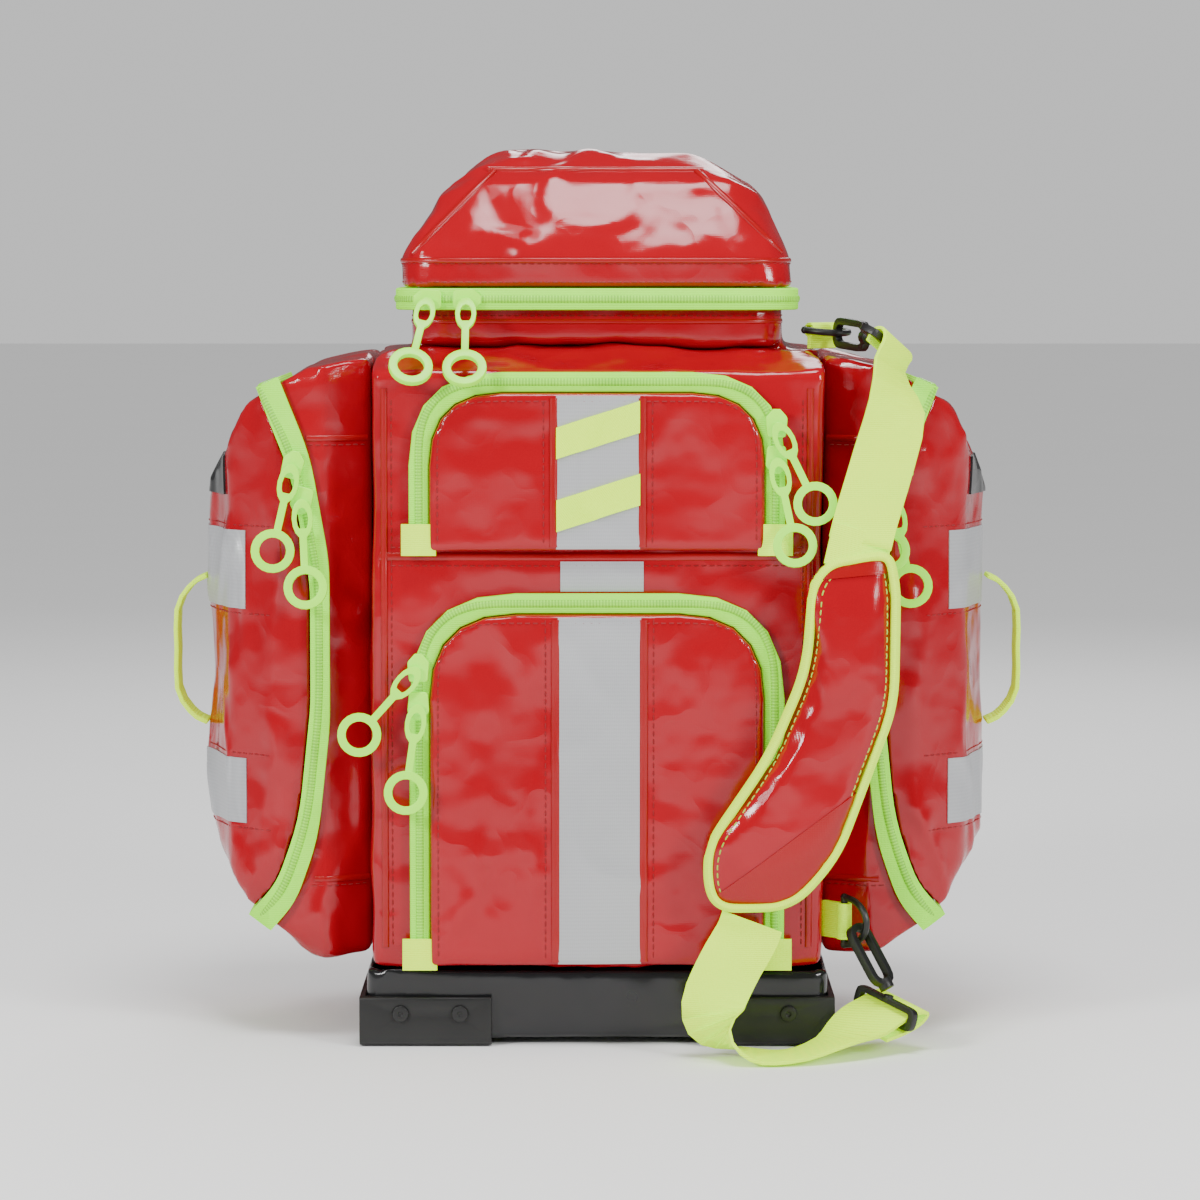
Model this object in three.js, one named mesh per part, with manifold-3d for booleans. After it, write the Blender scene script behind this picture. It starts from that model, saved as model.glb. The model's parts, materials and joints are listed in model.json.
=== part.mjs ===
// Trauma backpack: a glossy tarpaulin rucksack with a zipped hood, two drop-front pockets, two side
// pockets that open like doors, a padded sling clipped across the front, and a carrying harness behind.
// Millimetres, +Z up, front towards -Y. The origin is on the floor, in the middle of the whole outline.
import * as THREE from "three";
import { mergeVertices } from "three/addons/utils/BufferGeometryUtils.js";
import Module from "manifold-3d";

const wasm = await Module();
wasm.setup();

// ---- driving dimensions -------------------------------------------------------------------------
const GAP = 0.4; // clearance between neighbouring pieces
const WALL = 4; // tarpaulin over foam
const BODY = { halfWidth: 136.5, front: -42, back: 104, bottom: 47, top: 420 };
const COLLAR = { halfWidth: 113, front: -62, back: 98, top: 457.6 };
const MODULE = { front: -98, back: BODY.front - GAP, bottom: 47, top: 421 };
const HOOD = { halfWidth: 119, front: -67, back: 99, bottom: 458.4, band: 476, top: 541 };
const HOOD_ZIP = { halfWidth: 123, front: -72.5, end: 66, bottom: 444.6, top: 457.8 };
const UPPER = { halfWidth: 101, bottom: 300, top: 396, corner: 44 };
const LOWER = { halfWidth: 101, bottom: 49, top: 263, corner: 52 };
const ZIP_WIDTH = 12;
const ZIP_DEPTH = 5;
const FLAP_DEPTH = 10;
const FLAP_RIM = 5; // how far a flap laps over the edge of its pocket
const SIDE_HINGE = 88; // depth at which a side door is hinged
const BASE = { halfWidth: 140, front: -97, back: 104, bottom: 3.2, top: 46.6 };
const FOOT = { outer: 144, inner: 64, front: -103, back: 109, height: 30, plate: 2.8 };
const SCREW = { spots: [-119, -83, 80, 116], height: 20, head: 4.8, shank: 2 };
const WEB = { width: 38, thick: 2.2 };
const SLING_PIVOT = { y: -40, z: 432 };

// ---- materials ----------------------------------------------------------------------------------
const material = (color, roughness, metalness = 0) =>
  new THREE.MeshStandardMaterial({ color, roughness, metalness });
const MATERIAL = {
  red: material(0xb01018, 0.18),
  black: material(0x0d0d0e, 0.25),
  plastic: material(0x141414, 0.5),
  lime: material(0xa8f060, 0.45),
  webbing: material(0xc8f83c, 0.7),
  mesh: material(0x1c1c1e, 0.85),
  board: material(0xd8d8d4, 0.6),
};

// ---- solids and meshes --------------------------------------------------------------------------
const bag = new THREE.Group();

function solid(geometry) {
  const bare = geometry.index ? geometry.toNonIndexed() : geometry.clone();
  bare.deleteAttribute("normal");
  bare.deleteAttribute("uv");
  const merged = mergeVertices(bare, 1e-3);
  return new wasm.Manifold(
    new wasm.Mesh({
      numProp: 3,
      vertProperties: merged.attributes.position.array,
      triVerts: new Uint32Array(merged.index.array),
    }),
  );
}

function geometryOf(manifold) {
  const mesh = manifold.getMesh();
  return new THREE.BufferGeometry()
    .setAttribute("position", new THREE.BufferAttribute(new Float32Array(mesh.vertProperties), 3))
    .setIndex(new THREE.BufferAttribute(new Uint32Array(mesh.triVerts), 1));
}

function add(name, shape, finish, parent = bag) {
  const geometry = shape.isBufferGeometry ? shape : geometryOf(shape);
  const mesh = new THREE.Mesh(geometry, finish);
  mesh.name = name;
  parent.add(mesh);
  return mesh;
}

// ---- outlines -----------------------------------------------------------------------------------
// A closed outline through corners [x, y, radius], each corner rounded by its radius.
function outline(corners) {
  const shape = new THREE.Shape();
  corners.forEach(([x, y, radius = 0], i) => {
    const here = new THREE.Vector2(x, y);
    const before = new THREE.Vector2(...corners.at(i - 1).slice(0, 2));
    const after = new THREE.Vector2(...corners[(i + 1) % corners.length].slice(0, 2));
    const into = here.clone().sub(before).normalize();
    const out = after.clone().sub(here).normalize();
    const turn = Math.acos(THREE.MathUtils.clamp(into.dot(out), -1, 1));
    const cut = radius * Math.tan(turn / 2);
    const start = here.clone().addScaledVector(into, -cut);
    const end = here.clone().addScaledVector(out, cut);
    if (i === 0) shape.moveTo(start.x, start.y);
    else shape.lineTo(start.x, start.y);
    if (radius > 0) shape.quadraticCurveTo(x, y, end.x, end.y);
  });
  shape.closePath();
  return shape;
}

const rectangle = (x0, x1, y0, y1, radius = 0) =>
  outline([
    [x0, y0, radius],
    [x1, y0, radius],
    [x1, y1, radius],
    [x0, y1, radius],
  ]);

// The arch of a drop-front pocket: square at the bottom, round at the top.
const arch = (halfWidth, bottom, top, corner) =>
  outline([
    [-halfWidth, bottom],
    [halfWidth, bottom],
    [halfWidth, top, corner],
    [-halfWidth, top, corner],
  ]);

// Extrusions of an outline: up from a plan, back from a front view, across from a side view.
const CURVE_STEPS = 5;
const raised = (shape, bottom, top, curveSegments = CURVE_STEPS) =>
  new THREE.ExtrudeGeometry(shape, { depth: top - bottom, bevelEnabled: false, curveSegments })
    .translate(0, 0, bottom);
const deepened = (shape, front, back, curveSegments = CURVE_STEPS) =>
  new THREE.ExtrudeGeometry(shape, { depth: back - front, bevelEnabled: false, curveSegments })
    .rotateX(Math.PI / 2)
    .translate(0, back, 0);
const widened = (shape, left, right, curveSegments = CURVE_STEPS) =>
  new THREE.ExtrudeGeometry(shape, { depth: right - left, bevelEnabled: false, curveSegments })
    .rotateX(Math.PI / 2)
    .rotateZ(Math.PI / 2)
    .translate(left, 0, 0);

const box = (x0, x1, y0, y1, z0, z1) =>
  new THREE.BoxGeometry(x1 - x0, y1 - y0, z1 - z0)
    .translate((x0 + x1) / 2, (y0 + y1) / 2, (z0 + z1) / 2);

// A flat strap: rectangular sections along a smooth line through stations. Each station gives the
// middle of the strap, the direction of its width, and its width and thickness.
function ribbon(stations, steps) {
  const smooth = (values) => new THREE.CatmullRomCurve3(values.map((v) => new THREE.Vector3(...v)));
  const line = smooth(stations.map((s) => s.at));
  const across = smooth(stations.map((s) => s.across));
  const size = smooth(stations.map((s) => [...(s.size ?? [WEB.width, WEB.thick]), 0]));
  const position = [];
  for (let i = 0; i <= steps; i++) {
    const t = i / steps;
    const centre = line.getPoint(t);
    const ahead = line.getTangent(t);
    const side = across.getPoint(t);
    const { x: width, y: thick } = size.getPoint(t);
    side.addScaledVector(ahead, -side.dot(ahead)).normalize();
    const face = new THREE.Vector3().crossVectors(ahead, side).normalize();
    for (const [a, b] of [[-1, -1], [1, -1], [1, 1], [-1, 1]])
      position.push(
        ...centre.clone()
          .addScaledVector(side, (a * width) / 2)
          .addScaledVector(face, (b * thick) / 2)
          .toArray(),
      );
  }
  const index = [0, 2, 1, 0, 3, 2];
  for (let i = 0; i < steps; i++)
    for (let k = 0; k < 4; k++) {
      const [a, b] = [i * 4 + k, i * 4 + ((k + 1) % 4)];
      index.push(a, b, b + 4, a, b + 4, a + 4);
    }
  const last = steps * 4;
  index.push(last, last + 1, last + 2, last, last + 2, last + 3);
  return new THREE.BufferGeometry()
    .setAttribute("position", new THREE.Float32BufferAttribute(position, 3))
    .setIndex(index);
}

// Stands a mesh at a place with its local -Z along one direction and its local Y near another.
function orient(mesh, place, along, through) {
  const down = new THREE.Vector3(...along).normalize();
  const y = new THREE.Vector3(...through);
  y.addScaledVector(down, -y.dot(down)).normalize();
  const z = down.clone().negate();
  const x = new THREE.Vector3().crossVectors(y, z);
  mesh.position.set(...place);
  mesh.setRotationFromMatrix(new THREE.Matrix4().makeBasis(x, y, z));
}

// ---- main compartment, base and feet ------------------------------------------------------------
function buildBody() {
  const { halfWidth: w, front, back, bottom, top } = BODY;
  const outer = solid(raised(rectangle(-w, w, front, back, 14), bottom, top));
  const inner = solid(raised(rectangle(WALL - w, w - WALL, front + WALL, back - WALL, 12), bottom + WALL, top - WALL));
  const collarPlan = (inset) =>
    rectangle(inset - COLLAR.halfWidth, COLLAR.halfWidth - inset, COLLAR.front + inset, COLLAR.back - inset, 26);
  const module = solid(box(-w, w, MODULE.front, front + 1, bottom - 1, MODULE.top + GAP));
  const collar = solid(raised(collarPlan(0), top - WALL, COLLAR.top)).subtract(module);
  const shaft = solid(raised(collarPlan(WALL), top - 2 * WALL, COLLAR.top + 1));
  const room = solid(box(-w, w, front + WALL, back - WALL, bottom, COLLAR.top + 1));
  const well = shaft.intersect(room);
  add("main_shell", outer.add(collar).subtract(inner).subtract(well), MATERIAL.red);

  add("back_pad", deepened(rectangle(-122, 122, 64, 408, 22), back + GAP, back + 15), MATERIAL.mesh);
}

function screwHoles(x, radius) {
  return solid(
    new THREE.CylinderGeometry(radius, radius, 24, 16).translate(x, FOOT.front + 2, SCREW.height),
  );
}

function buildBase() {
  const { halfWidth: w, front, back, bottom, top } = BASE;
  const outer = solid(raised(rectangle(-w, w, front, back, 10), bottom, top));
  const inner = solid(raised(rectangle(WALL - w, w - WALL, front + WALL, back - WALL, 8), bottom + WALL, top + 1));
  let boot = outer.subtract(inner);
  for (const x of SCREW.spots) boot = boot.subtract(screwHoles(x, SCREW.shank + GAP));
  add("base_boot", boot, MATERIAL.black);

  const section = outline([
    [FOOT.front, 0, 5],
    [FOOT.back, 0, 5],
    [FOOT.back, FOOT.height, 2],
    [FOOT.back - 4.4, FOOT.height],
    [FOOT.back - 4.4, FOOT.plate],
    [front - 0.6, FOOT.plate],
    [front - 0.6, FOOT.height],
    [FOOT.front, FOOT.height, 2],
  ]);
  const channel = solid(widened(section, -FOOT.outer, -FOOT.inner, 3));
  const cheek = solid(box(-FOOT.outer, GAP * -1 - w, FOOT.front + 3, FOOT.back - 3, 1, FOOT.height));
  const leftFoot = channel.add(cheek);
  for (const [name, side] of [["left_foot", 1], ["right_foot", -1]]) {
    let foot = side > 0 ? leftFoot : leftFoot.mirror([1, 0, 0]);
    for (const x of SCREW.spots) foot = foot.subtract(screwHoles(x, SCREW.shank + GAP));
    add(name, foot, MATERIAL.plastic);
  }
  SCREW.spots.forEach((x, i) => {
    const head = new THREE.CylinderGeometry(SCREW.head, SCREW.head, 1.8, 20);
    const shank = new THREE.CylinderGeometry(SCREW.shank, SCREW.shank, 9, 12);
    const socket = new THREE.CylinderGeometry(1.6, 1.6, 1.2, 6);
    const face = FOOT.front - GAP;
    add(
      `foot_screw_${i + 1}`,
      solid(head.translate(x, face - 0.9, SCREW.height))
        .add(solid(shank.translate(x, face + 4, SCREW.height)))
        .subtract(solid(socket.translate(x, face - 1.6, SCREW.height))),
      MATERIAL.plastic,
    );
  });
}

// ---- front pockets ------------------------------------------------------------------------------
function buildFrontPockets() {
  const { front, back, bottom, top } = MODULE;
  const w = BODY.halfWidth;
  const profile = outline([
    [front, bottom],
    [back, bottom],
    [back, top],
    [-64, top],
    [front, top - 13, 6],
  ]);
  const plain = solid(deepened(arch(w, bottom, top, 14), front, back));
  let tub = plain.intersect(solid(widened(profile, -w - 5, w + 5)));
  for (const pocket of [UPPER, LOWER]) {
    const cavity = arch(
      pocket.halfWidth - FLAP_RIM,
      pocket.bottom + FLAP_RIM,
      pocket.top - FLAP_RIM,
      pocket.corner - FLAP_RIM,
    );
    tub = tub.subtract(solid(deepened(cavity, front - 1, back - WALL)));
  }
  add("front_pocket_tub", tub, MATERIAL.red);

  for (const [name, pocket] of [["upper", UPPER], ["lower", LOWER]]) {
    const { halfWidth, corner } = pocket;
    const floor = pocket.bottom;
    const ceiling = pocket.top;
    const flap = arch(halfWidth - GAP, floor + GAP, ceiling - GAP, corner);
    const flapBack = front - GAP;
    add(`${name}_flap`, deepened(flap, flapBack - FLAP_DEPTH, flapBack), MATERIAL.red);
    const outside = solid(
      deepened(
        arch(halfWidth + ZIP_WIDTH, floor, ceiling + ZIP_WIDTH, corner + ZIP_WIDTH),
        flapBack - ZIP_DEPTH,
        flapBack,
      ),
    );
    const inside = solid(deepened(arch(halfWidth, floor - 1, ceiling, corner), flapBack - 20, flapBack + 1));
    add(`${name}_zip`, outside.subtract(inside), MATERIAL.lime);
  }
}

// ---- side pockets -------------------------------------------------------------------------------
const SIDE_PLAN = [
  [137.5, -61, 0],
  [166, -74, 10],
  [196, -71, 14],
  [226, -46, 22],
  [241, 8, 30],
  [237, 86, 14],
  [214, 103, 12],
  [137.5, 104, 0],
];
const SIDE_FRONT = [
  [130, 50, 0],
  [172, 52, 20],
  [214, 82, 20],
  [241, 128, 30],
  [243, 330, 40],
  [214, 388, 24],
  [176, 410, 20],
  [130, 420, 0],
];
// The mouth of a side pocket in front view: a C that bows towards the middle of the bag.
const SIDE_MOUTH = [
  [260, 66, 0],
  [260, 402, 0],
  [209, 402, 10],
  [186, 345, 150],
  [174.5, 280, 150],
  [174.5, 205, 200],
  [182, 135, 150],
  [196, 96, 60],
  [222, 66, 20],
];

// The same corners drawn in towards the pocket's own middle by an inset.
function inset(corners, by, centre) {
  return corners.map(([x, y, radius]) => {
    const away = new THREE.Vector2(x - centre[0], y - centre[1]);
    const pulled = away.clone().addScaledVector(new THREE.Vector2(Math.sign(away.x), Math.sign(away.y)), -by);
    return [centre[0] + pulled.x, centre[1] + pulled.y, Math.max(radius - by, 0)];
  });
}

function sideSolid(by) {
  const plan = solid(raised(outline(inset(SIDE_PLAN, by, [185, 15])), 40, 430, 3));
  const front = solid(deepened(outline(inset(SIDE_FRONT, by, [185, 235])), -90, 120, 3));
  return plan.intersect(front);
}

function sideMouth(grow) {
  const corners = SIDE_MOUTH.map(([x, y, radius]) => [x < 250 ? x - grow : x, y + Math.sign(y - 234) * grow, radius]);
  return solid(deepened(outline(corners), -100, SIDE_HINGE, 4));
}

function sideZipBand() {
  const skin = sideSolid(-4.4).subtract(sideSolid(-GAP));
  const front = solid(box(100, 240, -110, 40, 40, 430));
  const band = sideMouth(ZIP_WIDTH).subtract(sideMouth(GAP));
  return skin.intersect(band).intersect(front);
}

function buildSidePockets() {
  const shell = sideSolid(0).subtract(sideSolid(WALL));
  const pieces = {
    pocket_tub: [shell.subtract(sideMouth(GAP)), MATERIAL.red],
    door: [shell.intersect(sideMouth(0)), MATERIAL.red],
    zip: [sideZipBand(), MATERIAL.lime],
  };
  for (const [part, [piece, finish]] of Object.entries(pieces)) {
    const whole = piece.decompose().sort((a, b) => b.volume() - a.volume())[0];
    add(`right_${part}`, whole, finish);
    add(`left_${part}`, whole.mirror([1, 0, 0]), finish);
  }
  // A grab handle of webbing stands off each door.
  for (const [side, x] of [["left", -1], ["right", 1]]) {
    const route = [[244, 186], [252, 190], [262, 204], [263, 232], [262, 260], [252, 274], [244, 278]];
    const size = [25, 3];
    const stations = route.map(([out, z]) => ({ at: [x * out, 14, z], across: [0, 1, 0], size }));
    add(`${side}_side_handle`, ribbon(stations, 14), MATERIAL.webbing);
  }
}

// ---- hood ---------------------------------------------------------------------------------------
function hoodSolid(by) {
  const { halfWidth: w, front, back, bottom, band, top } = HOOD;
  const face = outline([
    [by - w, bottom - (by ? 1 : 0), 0],
    [w - by, bottom - (by ? 1 : 0), 0],
    [w - by, band, 12],
    [98 - by, 516, 16],
    [62 - by, top - by, 18],
    [by - 62, top - by, 18],
    [by - 98, 516, 16],
    [by - w, band, 12],
  ]);
  const profile = outline([
    [front + by, bottom - (by ? 1 : 0), 0],
    [back - by, bottom - (by ? 1 : 0), 0],
    [back - by, 500, 16],
    [72, top - 4 - by, 22],
    [-8, top - by, 20],
    [-42 + by, 524, 16],
    [front + by, band, 10],
  ]);
  const plan = rectangle(by - w, w - by, front + by, back - by, 26);
  return solid(deepened(face, front - 5, back + 5, 4))
    .intersect(solid(widened(profile, -w - 5, w + 5, 4)))
    .intersect(solid(raised(plan, bottom - 5, top + 5)));
}

function buildHood() {
  add("hood", hoodSolid(0).subtract(hoodSolid(WALL)), MATERIAL.red);
  const { halfWidth: w, front, end, bottom, top } = HOOD_ZIP;
  const outer = solid(raised(rectangle(-w, w, front, 140, 30), bottom, top));
  const hole = COLLAR.halfWidth + GAP;
  const inner = solid(raised(rectangle(-hole, hole, COLLAR.front - GAP, 130, 26), bottom - 1, top + 1));
  const ahead = solid(box(-w - 5, w + 5, front - 5, end, bottom - 5, top + 5));
  add("hood_zip", outer.subtract(inner).intersect(ahead), MATERIAL.lime);
}

// ---- zip sliders and ring pulls -----------------------------------------------------------------
const RING = { outer: 13.2, inner: 8.2, thick: 3.6 };
const PULL_LENGTH = 66; // from the pivot to the far side of the ring

// A slider lies along local Z with its face towards local -Y; its bridge is left open for the pull.
function sliderSolid() {
  const body = outline([
    [-5.6, -8, 2],
    [5.6, -8, 2],
    [6.6, 4, 3],
    [2.2, 9, 1],
    [-2.2, 9, 1],
    [-6.6, 4, 3],
  ]);
  return solid(deepened(body, -3.4, 0, 2));
}

// A pull hangs along local -Z from its pivot at the local origin: a bail, a cord and a finger ring.
function pullSolid() {
  const centre = RING.outer - PULL_LENGTH;
  const bail = new THREE.CylinderGeometry(6.4, 6.4, 2.2, 16).scale(1, 1, 1.9).translate(0, 0, -11);
  const eye = new THREE.CylinderGeometry(3.6, 3.6, 4, 12).scale(1, 1, 2).translate(0, 0, -11.5);
  const ring = new THREE.CylinderGeometry(RING.outer, RING.outer, RING.thick, 24).translate(0, 0, centre);
  const hole = new THREE.CylinderGeometry(RING.inner, RING.inner, RING.thick + 2, 20).translate(0, 0, centre);
  const cord = box(-2.2, 2.2, -1.1, 1.1, centre + RING.inner + 2, -17);
  return solid(bail).subtract(solid(eye)).add(solid(cord)).add(solid(ring)).subtract(solid(hole));
}

// Each zip carries two sliders. at is the slider's place on its zip, turn the direction that the
// slider runs in front view, hang the direction of its pull in front view, and lean how far the
// pull stands forward of the panel that it hangs against, all in degrees.
const SLIDERS = [
  { name: "hood_left", at: [-102, -72.9, 451], turn: -90, hang: -13, lean: 40 },
  { name: "hood_right", at: [-79, -72.9, 451], turn: 90, hang: 0, lean: 40 },
  { name: "upper_high", at: [107.4, -103.9, 377], turn: 0, hang: 26, lean: 4 },
  { name: "upper_low", at: [107.4, -103.9, 356], turn: 180, hang: 12, lean: 9 },
  { name: "lower_high", at: [-107.4, -103.9, 230], turn: 0, hang: -42, lean: 4 },
  { name: "lower_low", at: [-107.4, -103.9, 208], turn: 180, hang: -8, lean: 8 },
  { name: "left_high", at: [-184, -79, 351], turn: 16, hang: -13, lean: 4 },
  { name: "left_low", at: [-178.5, -79, 330], turn: 196, hang: 3, lean: 9 },
  { name: "right_high", at: [184, -79, 351], turn: -16, hang: -10, lean: 13 },
  { name: "right_low", at: [178.5, -79, 330], turn: 164, hang: 12, lean: 4 },
];

function buildSliders() {
  const rad = THREE.MathUtils.degToRad;
  for (const { name, at, turn, hang, lean } of SLIDERS) {
    const slider = add(`${name}_slider`, sliderSolid(), MATERIAL.lime);
    slider.position.set(...at);
    slider.rotation.y = rad(turn);
    const pull = add(`${name}_pull`, pullSolid(), MATERIAL.lime);
    pull.position.set(at[0], at[1] - 5.4, at[2]);
    pull.rotation.set(-rad(lean), -rad(hang), 0, "YXZ");
  }
}

// ---- sling across the front ---------------------------------------------------------------------
// A padded sling hangs from the top right of the bag to the bottom right, clipped to a D-ring at each
// end. SNAP says, for each end, where the ring's straight bar is, which way the ring and the hook
// point, and which way the bar of the hook's eye runs.
const D_RING = { reach: 18, half: 14.5, wire: 2.1 };
const HOOK = { length: 37, window: 10.4, bar: 4.2 };
const EYE = { width: 49, depth: 17, bar: 4.4 };
const SNAP = {
  upper: {
    bar: [138, -31, 432],
    ring: [0.66, -0.74, -0.1],
    contact: [150.2, -45.4, 430.2],
    hook: [0.41, -0.91, -0.06],
    swivel: [166, -80, 428],
    eye: [0.71, -0.61, -0.35],
    across: [0.62, 0.62, -0.47],
  },
  lower: {
    bar: [150, -92, 75],
    ring: [0.707, -0.707, 0],
    contact: [159.8, -101.8, 65.7],
    hook: [0.45, -0.3, -0.84],
    swivel: [176.5, -112.9, 34.6],
    eye: [-0.24, 0.1, -0.96],
    across: [0.65, -0.7, -0.25],
  },
};

const mixed = (origin, ...terms) =>
  terms.reduce((sum, [by, v]) => sum.addScaledVector(new THREE.Vector3(...v), by), new THREE.Vector3(...origin))
    .toArray();

// A round wire along a line, closed into a loop or not.
function wire(points, radius, closed) {
  const line = new THREE.CatmullRomCurve3(points.map((p) => new THREE.Vector3(...p)), closed);
  const section = new THREE.Shape().absarc(0, 0, radius, 0, Math.PI * 2);
  return new THREE.ExtrudeGeometry(section, { extrudePath: line, steps: 26, curveSegments: 4 });
}

// The ring's bar runs along local Y through the origin and its bow bulges along local -Z.
function dRingSolid() {
  const { reach, half, wire: r } = D_RING;
  const bow = [];
  for (let i = 0; i <= 8; i++) {
    const t = -Math.PI / 2 + (Math.PI * i) / 8;
    bow.push([0, half * Math.sin(t), -reach * Math.cos(t)]);
  }
  const bar = new THREE.CylinderGeometry(r, r, 2 * half, 10);
  const ends = [-1, 1].map((side) => solid(new THREE.SphereGeometry(r * 1.15, 10, 8).translate(0, side * half, 0)));
  return ends.reduce((sum, end) => sum.add(end), solid(wire(bow, r, false)).add(solid(bar)));
}

// A tab of webbing folded round the ring's bar, running back along local +Z.
function tabSolid(width, length) {
  const fold = solid(new THREE.CylinderGeometry(4.6, 4.6, width, 14));
  const bore = solid(new THREE.CylinderGeometry(2.6, 2.6, width + 2, 14));
  return fold.add(solid(box(-1.6, 1.6, -width / 2, width / 2, 3, length))).subtract(bore);
}

// The hook's jaw closes round local Y at the origin; its swivel is down at local -Z.
function hookSolid() {
  const { length, window: w, bar } = HOOK;
  const outer = deepened(rectangle(-w / 2 - bar, w / 2 + bar, 5 - length, w / 2 + bar, 9), -2.3, 2.3, 4);
  const inner = deepened(rectangle(-w / 2, w / 2, 9 - length, w / 2, 4.6), -4, 4, 4);
  const neck = new THREE.CylinderGeometry(4.6, 4.6, 6, 12).rotateX(Math.PI / 2).translate(0, 0, 5.6 - length);
  return solid(outer).subtract(solid(inner)).add(solid(neck));
}

// The eye turns on the hook's swivel at the origin and carries the strap on its far bar, along Y.
function eyeSolid() {
  const { width, depth, bar } = EYE;
  const frame = rectangle(-width / 2, width / 2, -depth, -3, 5);
  const window = rectangle(bar - width / 2, width / 2 - bar, bar - depth, -3 - 0.8 * bar, 2);
  const neck = new THREE.CylinderGeometry(3, 3, 3, 12).rotateX(Math.PI / 2).translate(0, 0, -3.2);
  return solid(deepened(frame, -bar / 2, bar / 2, 3))
    .subtract(solid(deepened(window, -bar, bar, 3)))
    .add(solid(neck))
    .rotate([0, 0, 90]);
}

// The eye's far bar: its middle, its own direction, outward from the swivel, and square to both.
function eyeBar({ swivel, eye, across }) {
  const out = new THREE.Vector3(...eye).normalize();
  const bar = new THREE.Vector3(...across);
  bar.addScaledVector(out, -bar.dot(out)).normalize();
  const up = new THREE.Vector3().crossVectors(out, bar);
  const middle = mixed(swivel, [EYE.depth - EYE.bar / 2, out]);
  return { middle, out, bar: bar.toArray(), up };
}

function slingStations() {
  const top = eyeBar(SNAP.upper);
  const end = eyeBar(SNAP.lower);
  const overTop = (out, up) => ({ at: mixed(top.middle, [out, top.out], [up, top.up]), across: top.bar });
  const along = [0.75, 0.59, 0.29];
  const over = [-0.056, -0.38, 0.92];
  const roundEnd = (ahead, up) => ({ at: mixed(end.middle, [ahead, along], [up, over]), across: end.bar });
  return {
    top: [
      overTop(-4.2, -6),
      overTop(-4.6, 0),
      overTop(-3.2, 3.4),
      overTop(0.6, 4.8),
      overTop(4.6, 2),
      overTop(6.4, -8),
      { at: [179, -112, 388], across: [0.85, 0.3, -0.4] },
      { at: [169, -118, 350], across: [0.97, 0, -0.22] },
      { at: [160, -122, 320], across: [0.99, 0, -0.02] },
      { at: [156.5, -125.4, 306.6], across: [0.988, 0, 0.156] },
    ],
    bottom: [
      { at: [93, -126.4, 80], across: [1, 0, 0] },
      { at: [90, -128, 72], across: [0.98, 0, -0.12] },
      { at: [78, -135, 52], across: [0.94, -0.05, -0.3] },
      { at: [69, -143, 30], across: [0.98, -0.2, 0] },
      { at: [74, -149, 14], across: [0.45, -0.8, 0.1] },
      { at: [92, -151, 3.6], across: [0, -1, 0] },
      { at: [116, -149, 2.7], across: [0, -1, 0] },
      { at: mixed(end.middle, [-42, along], [1, over]), across: [0.3, -0.95, 0] },
      roundEnd(-20, 3),
      roundEnd(0, 4.4),
      roundEnd(14, 3.6),
      roundEnd(19, 0),
      roundEnd(14, -3.6),
      roundEnd(0, -4.4),
      roundEnd(-16, -2.4),
    ],
  };
}

const SLING_PAD = [
  [126, 284, 8],
  [138, 298, 6],
  [176, 304, 10],
  [181, 280, 60],
  [180, 210, 70],
  [146, 118, 60],
  [118, 86, 30],
  [66, 85, 22],
  [62, 124, 20],
  [100, 180, 60],
  [122, 232, 60],
];

function buildSling() {
  const { top, bottom } = slingStations();
  add("sling_pad", deepened(outline(SLING_PAD), -132, -121.5, 6), MATERIAL.red);
  add("sling_upper_web", ribbon(top, 24), MATERIAL.webbing);
  add("sling_lower_web", ribbon(bottom, 48), MATERIAL.webbing);
  for (const [end, snap] of Object.entries(SNAP)) {
    const level = end === "upper" ? [0.746, 0.666, 0] : [0, 0, 1];
    const through = end === "upper" ? level : [-0.51, 0.51, -0.69];
    orient(add(`${end}_d_ring`, dRingSolid(), MATERIAL.plastic), snap.bar, snap.ring, level);
    orient(add(`${end}_ring_tab`, tabSolid(22, end === "upper" ? 11.4 : 16.6), MATERIAL.webbing),
      snap.bar, end === "upper" ? [0, 0, 1] : snap.ring, level);
    orient(add(`${end}_snap_hook`, hookSolid(), MATERIAL.plastic), snap.contact, snap.hook, through);
    orient(add(`${end}_hook_eye`, eyeSolid(), MATERIAL.plastic), snap.swivel, snap.eye, snap.across);
  }
}

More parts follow.
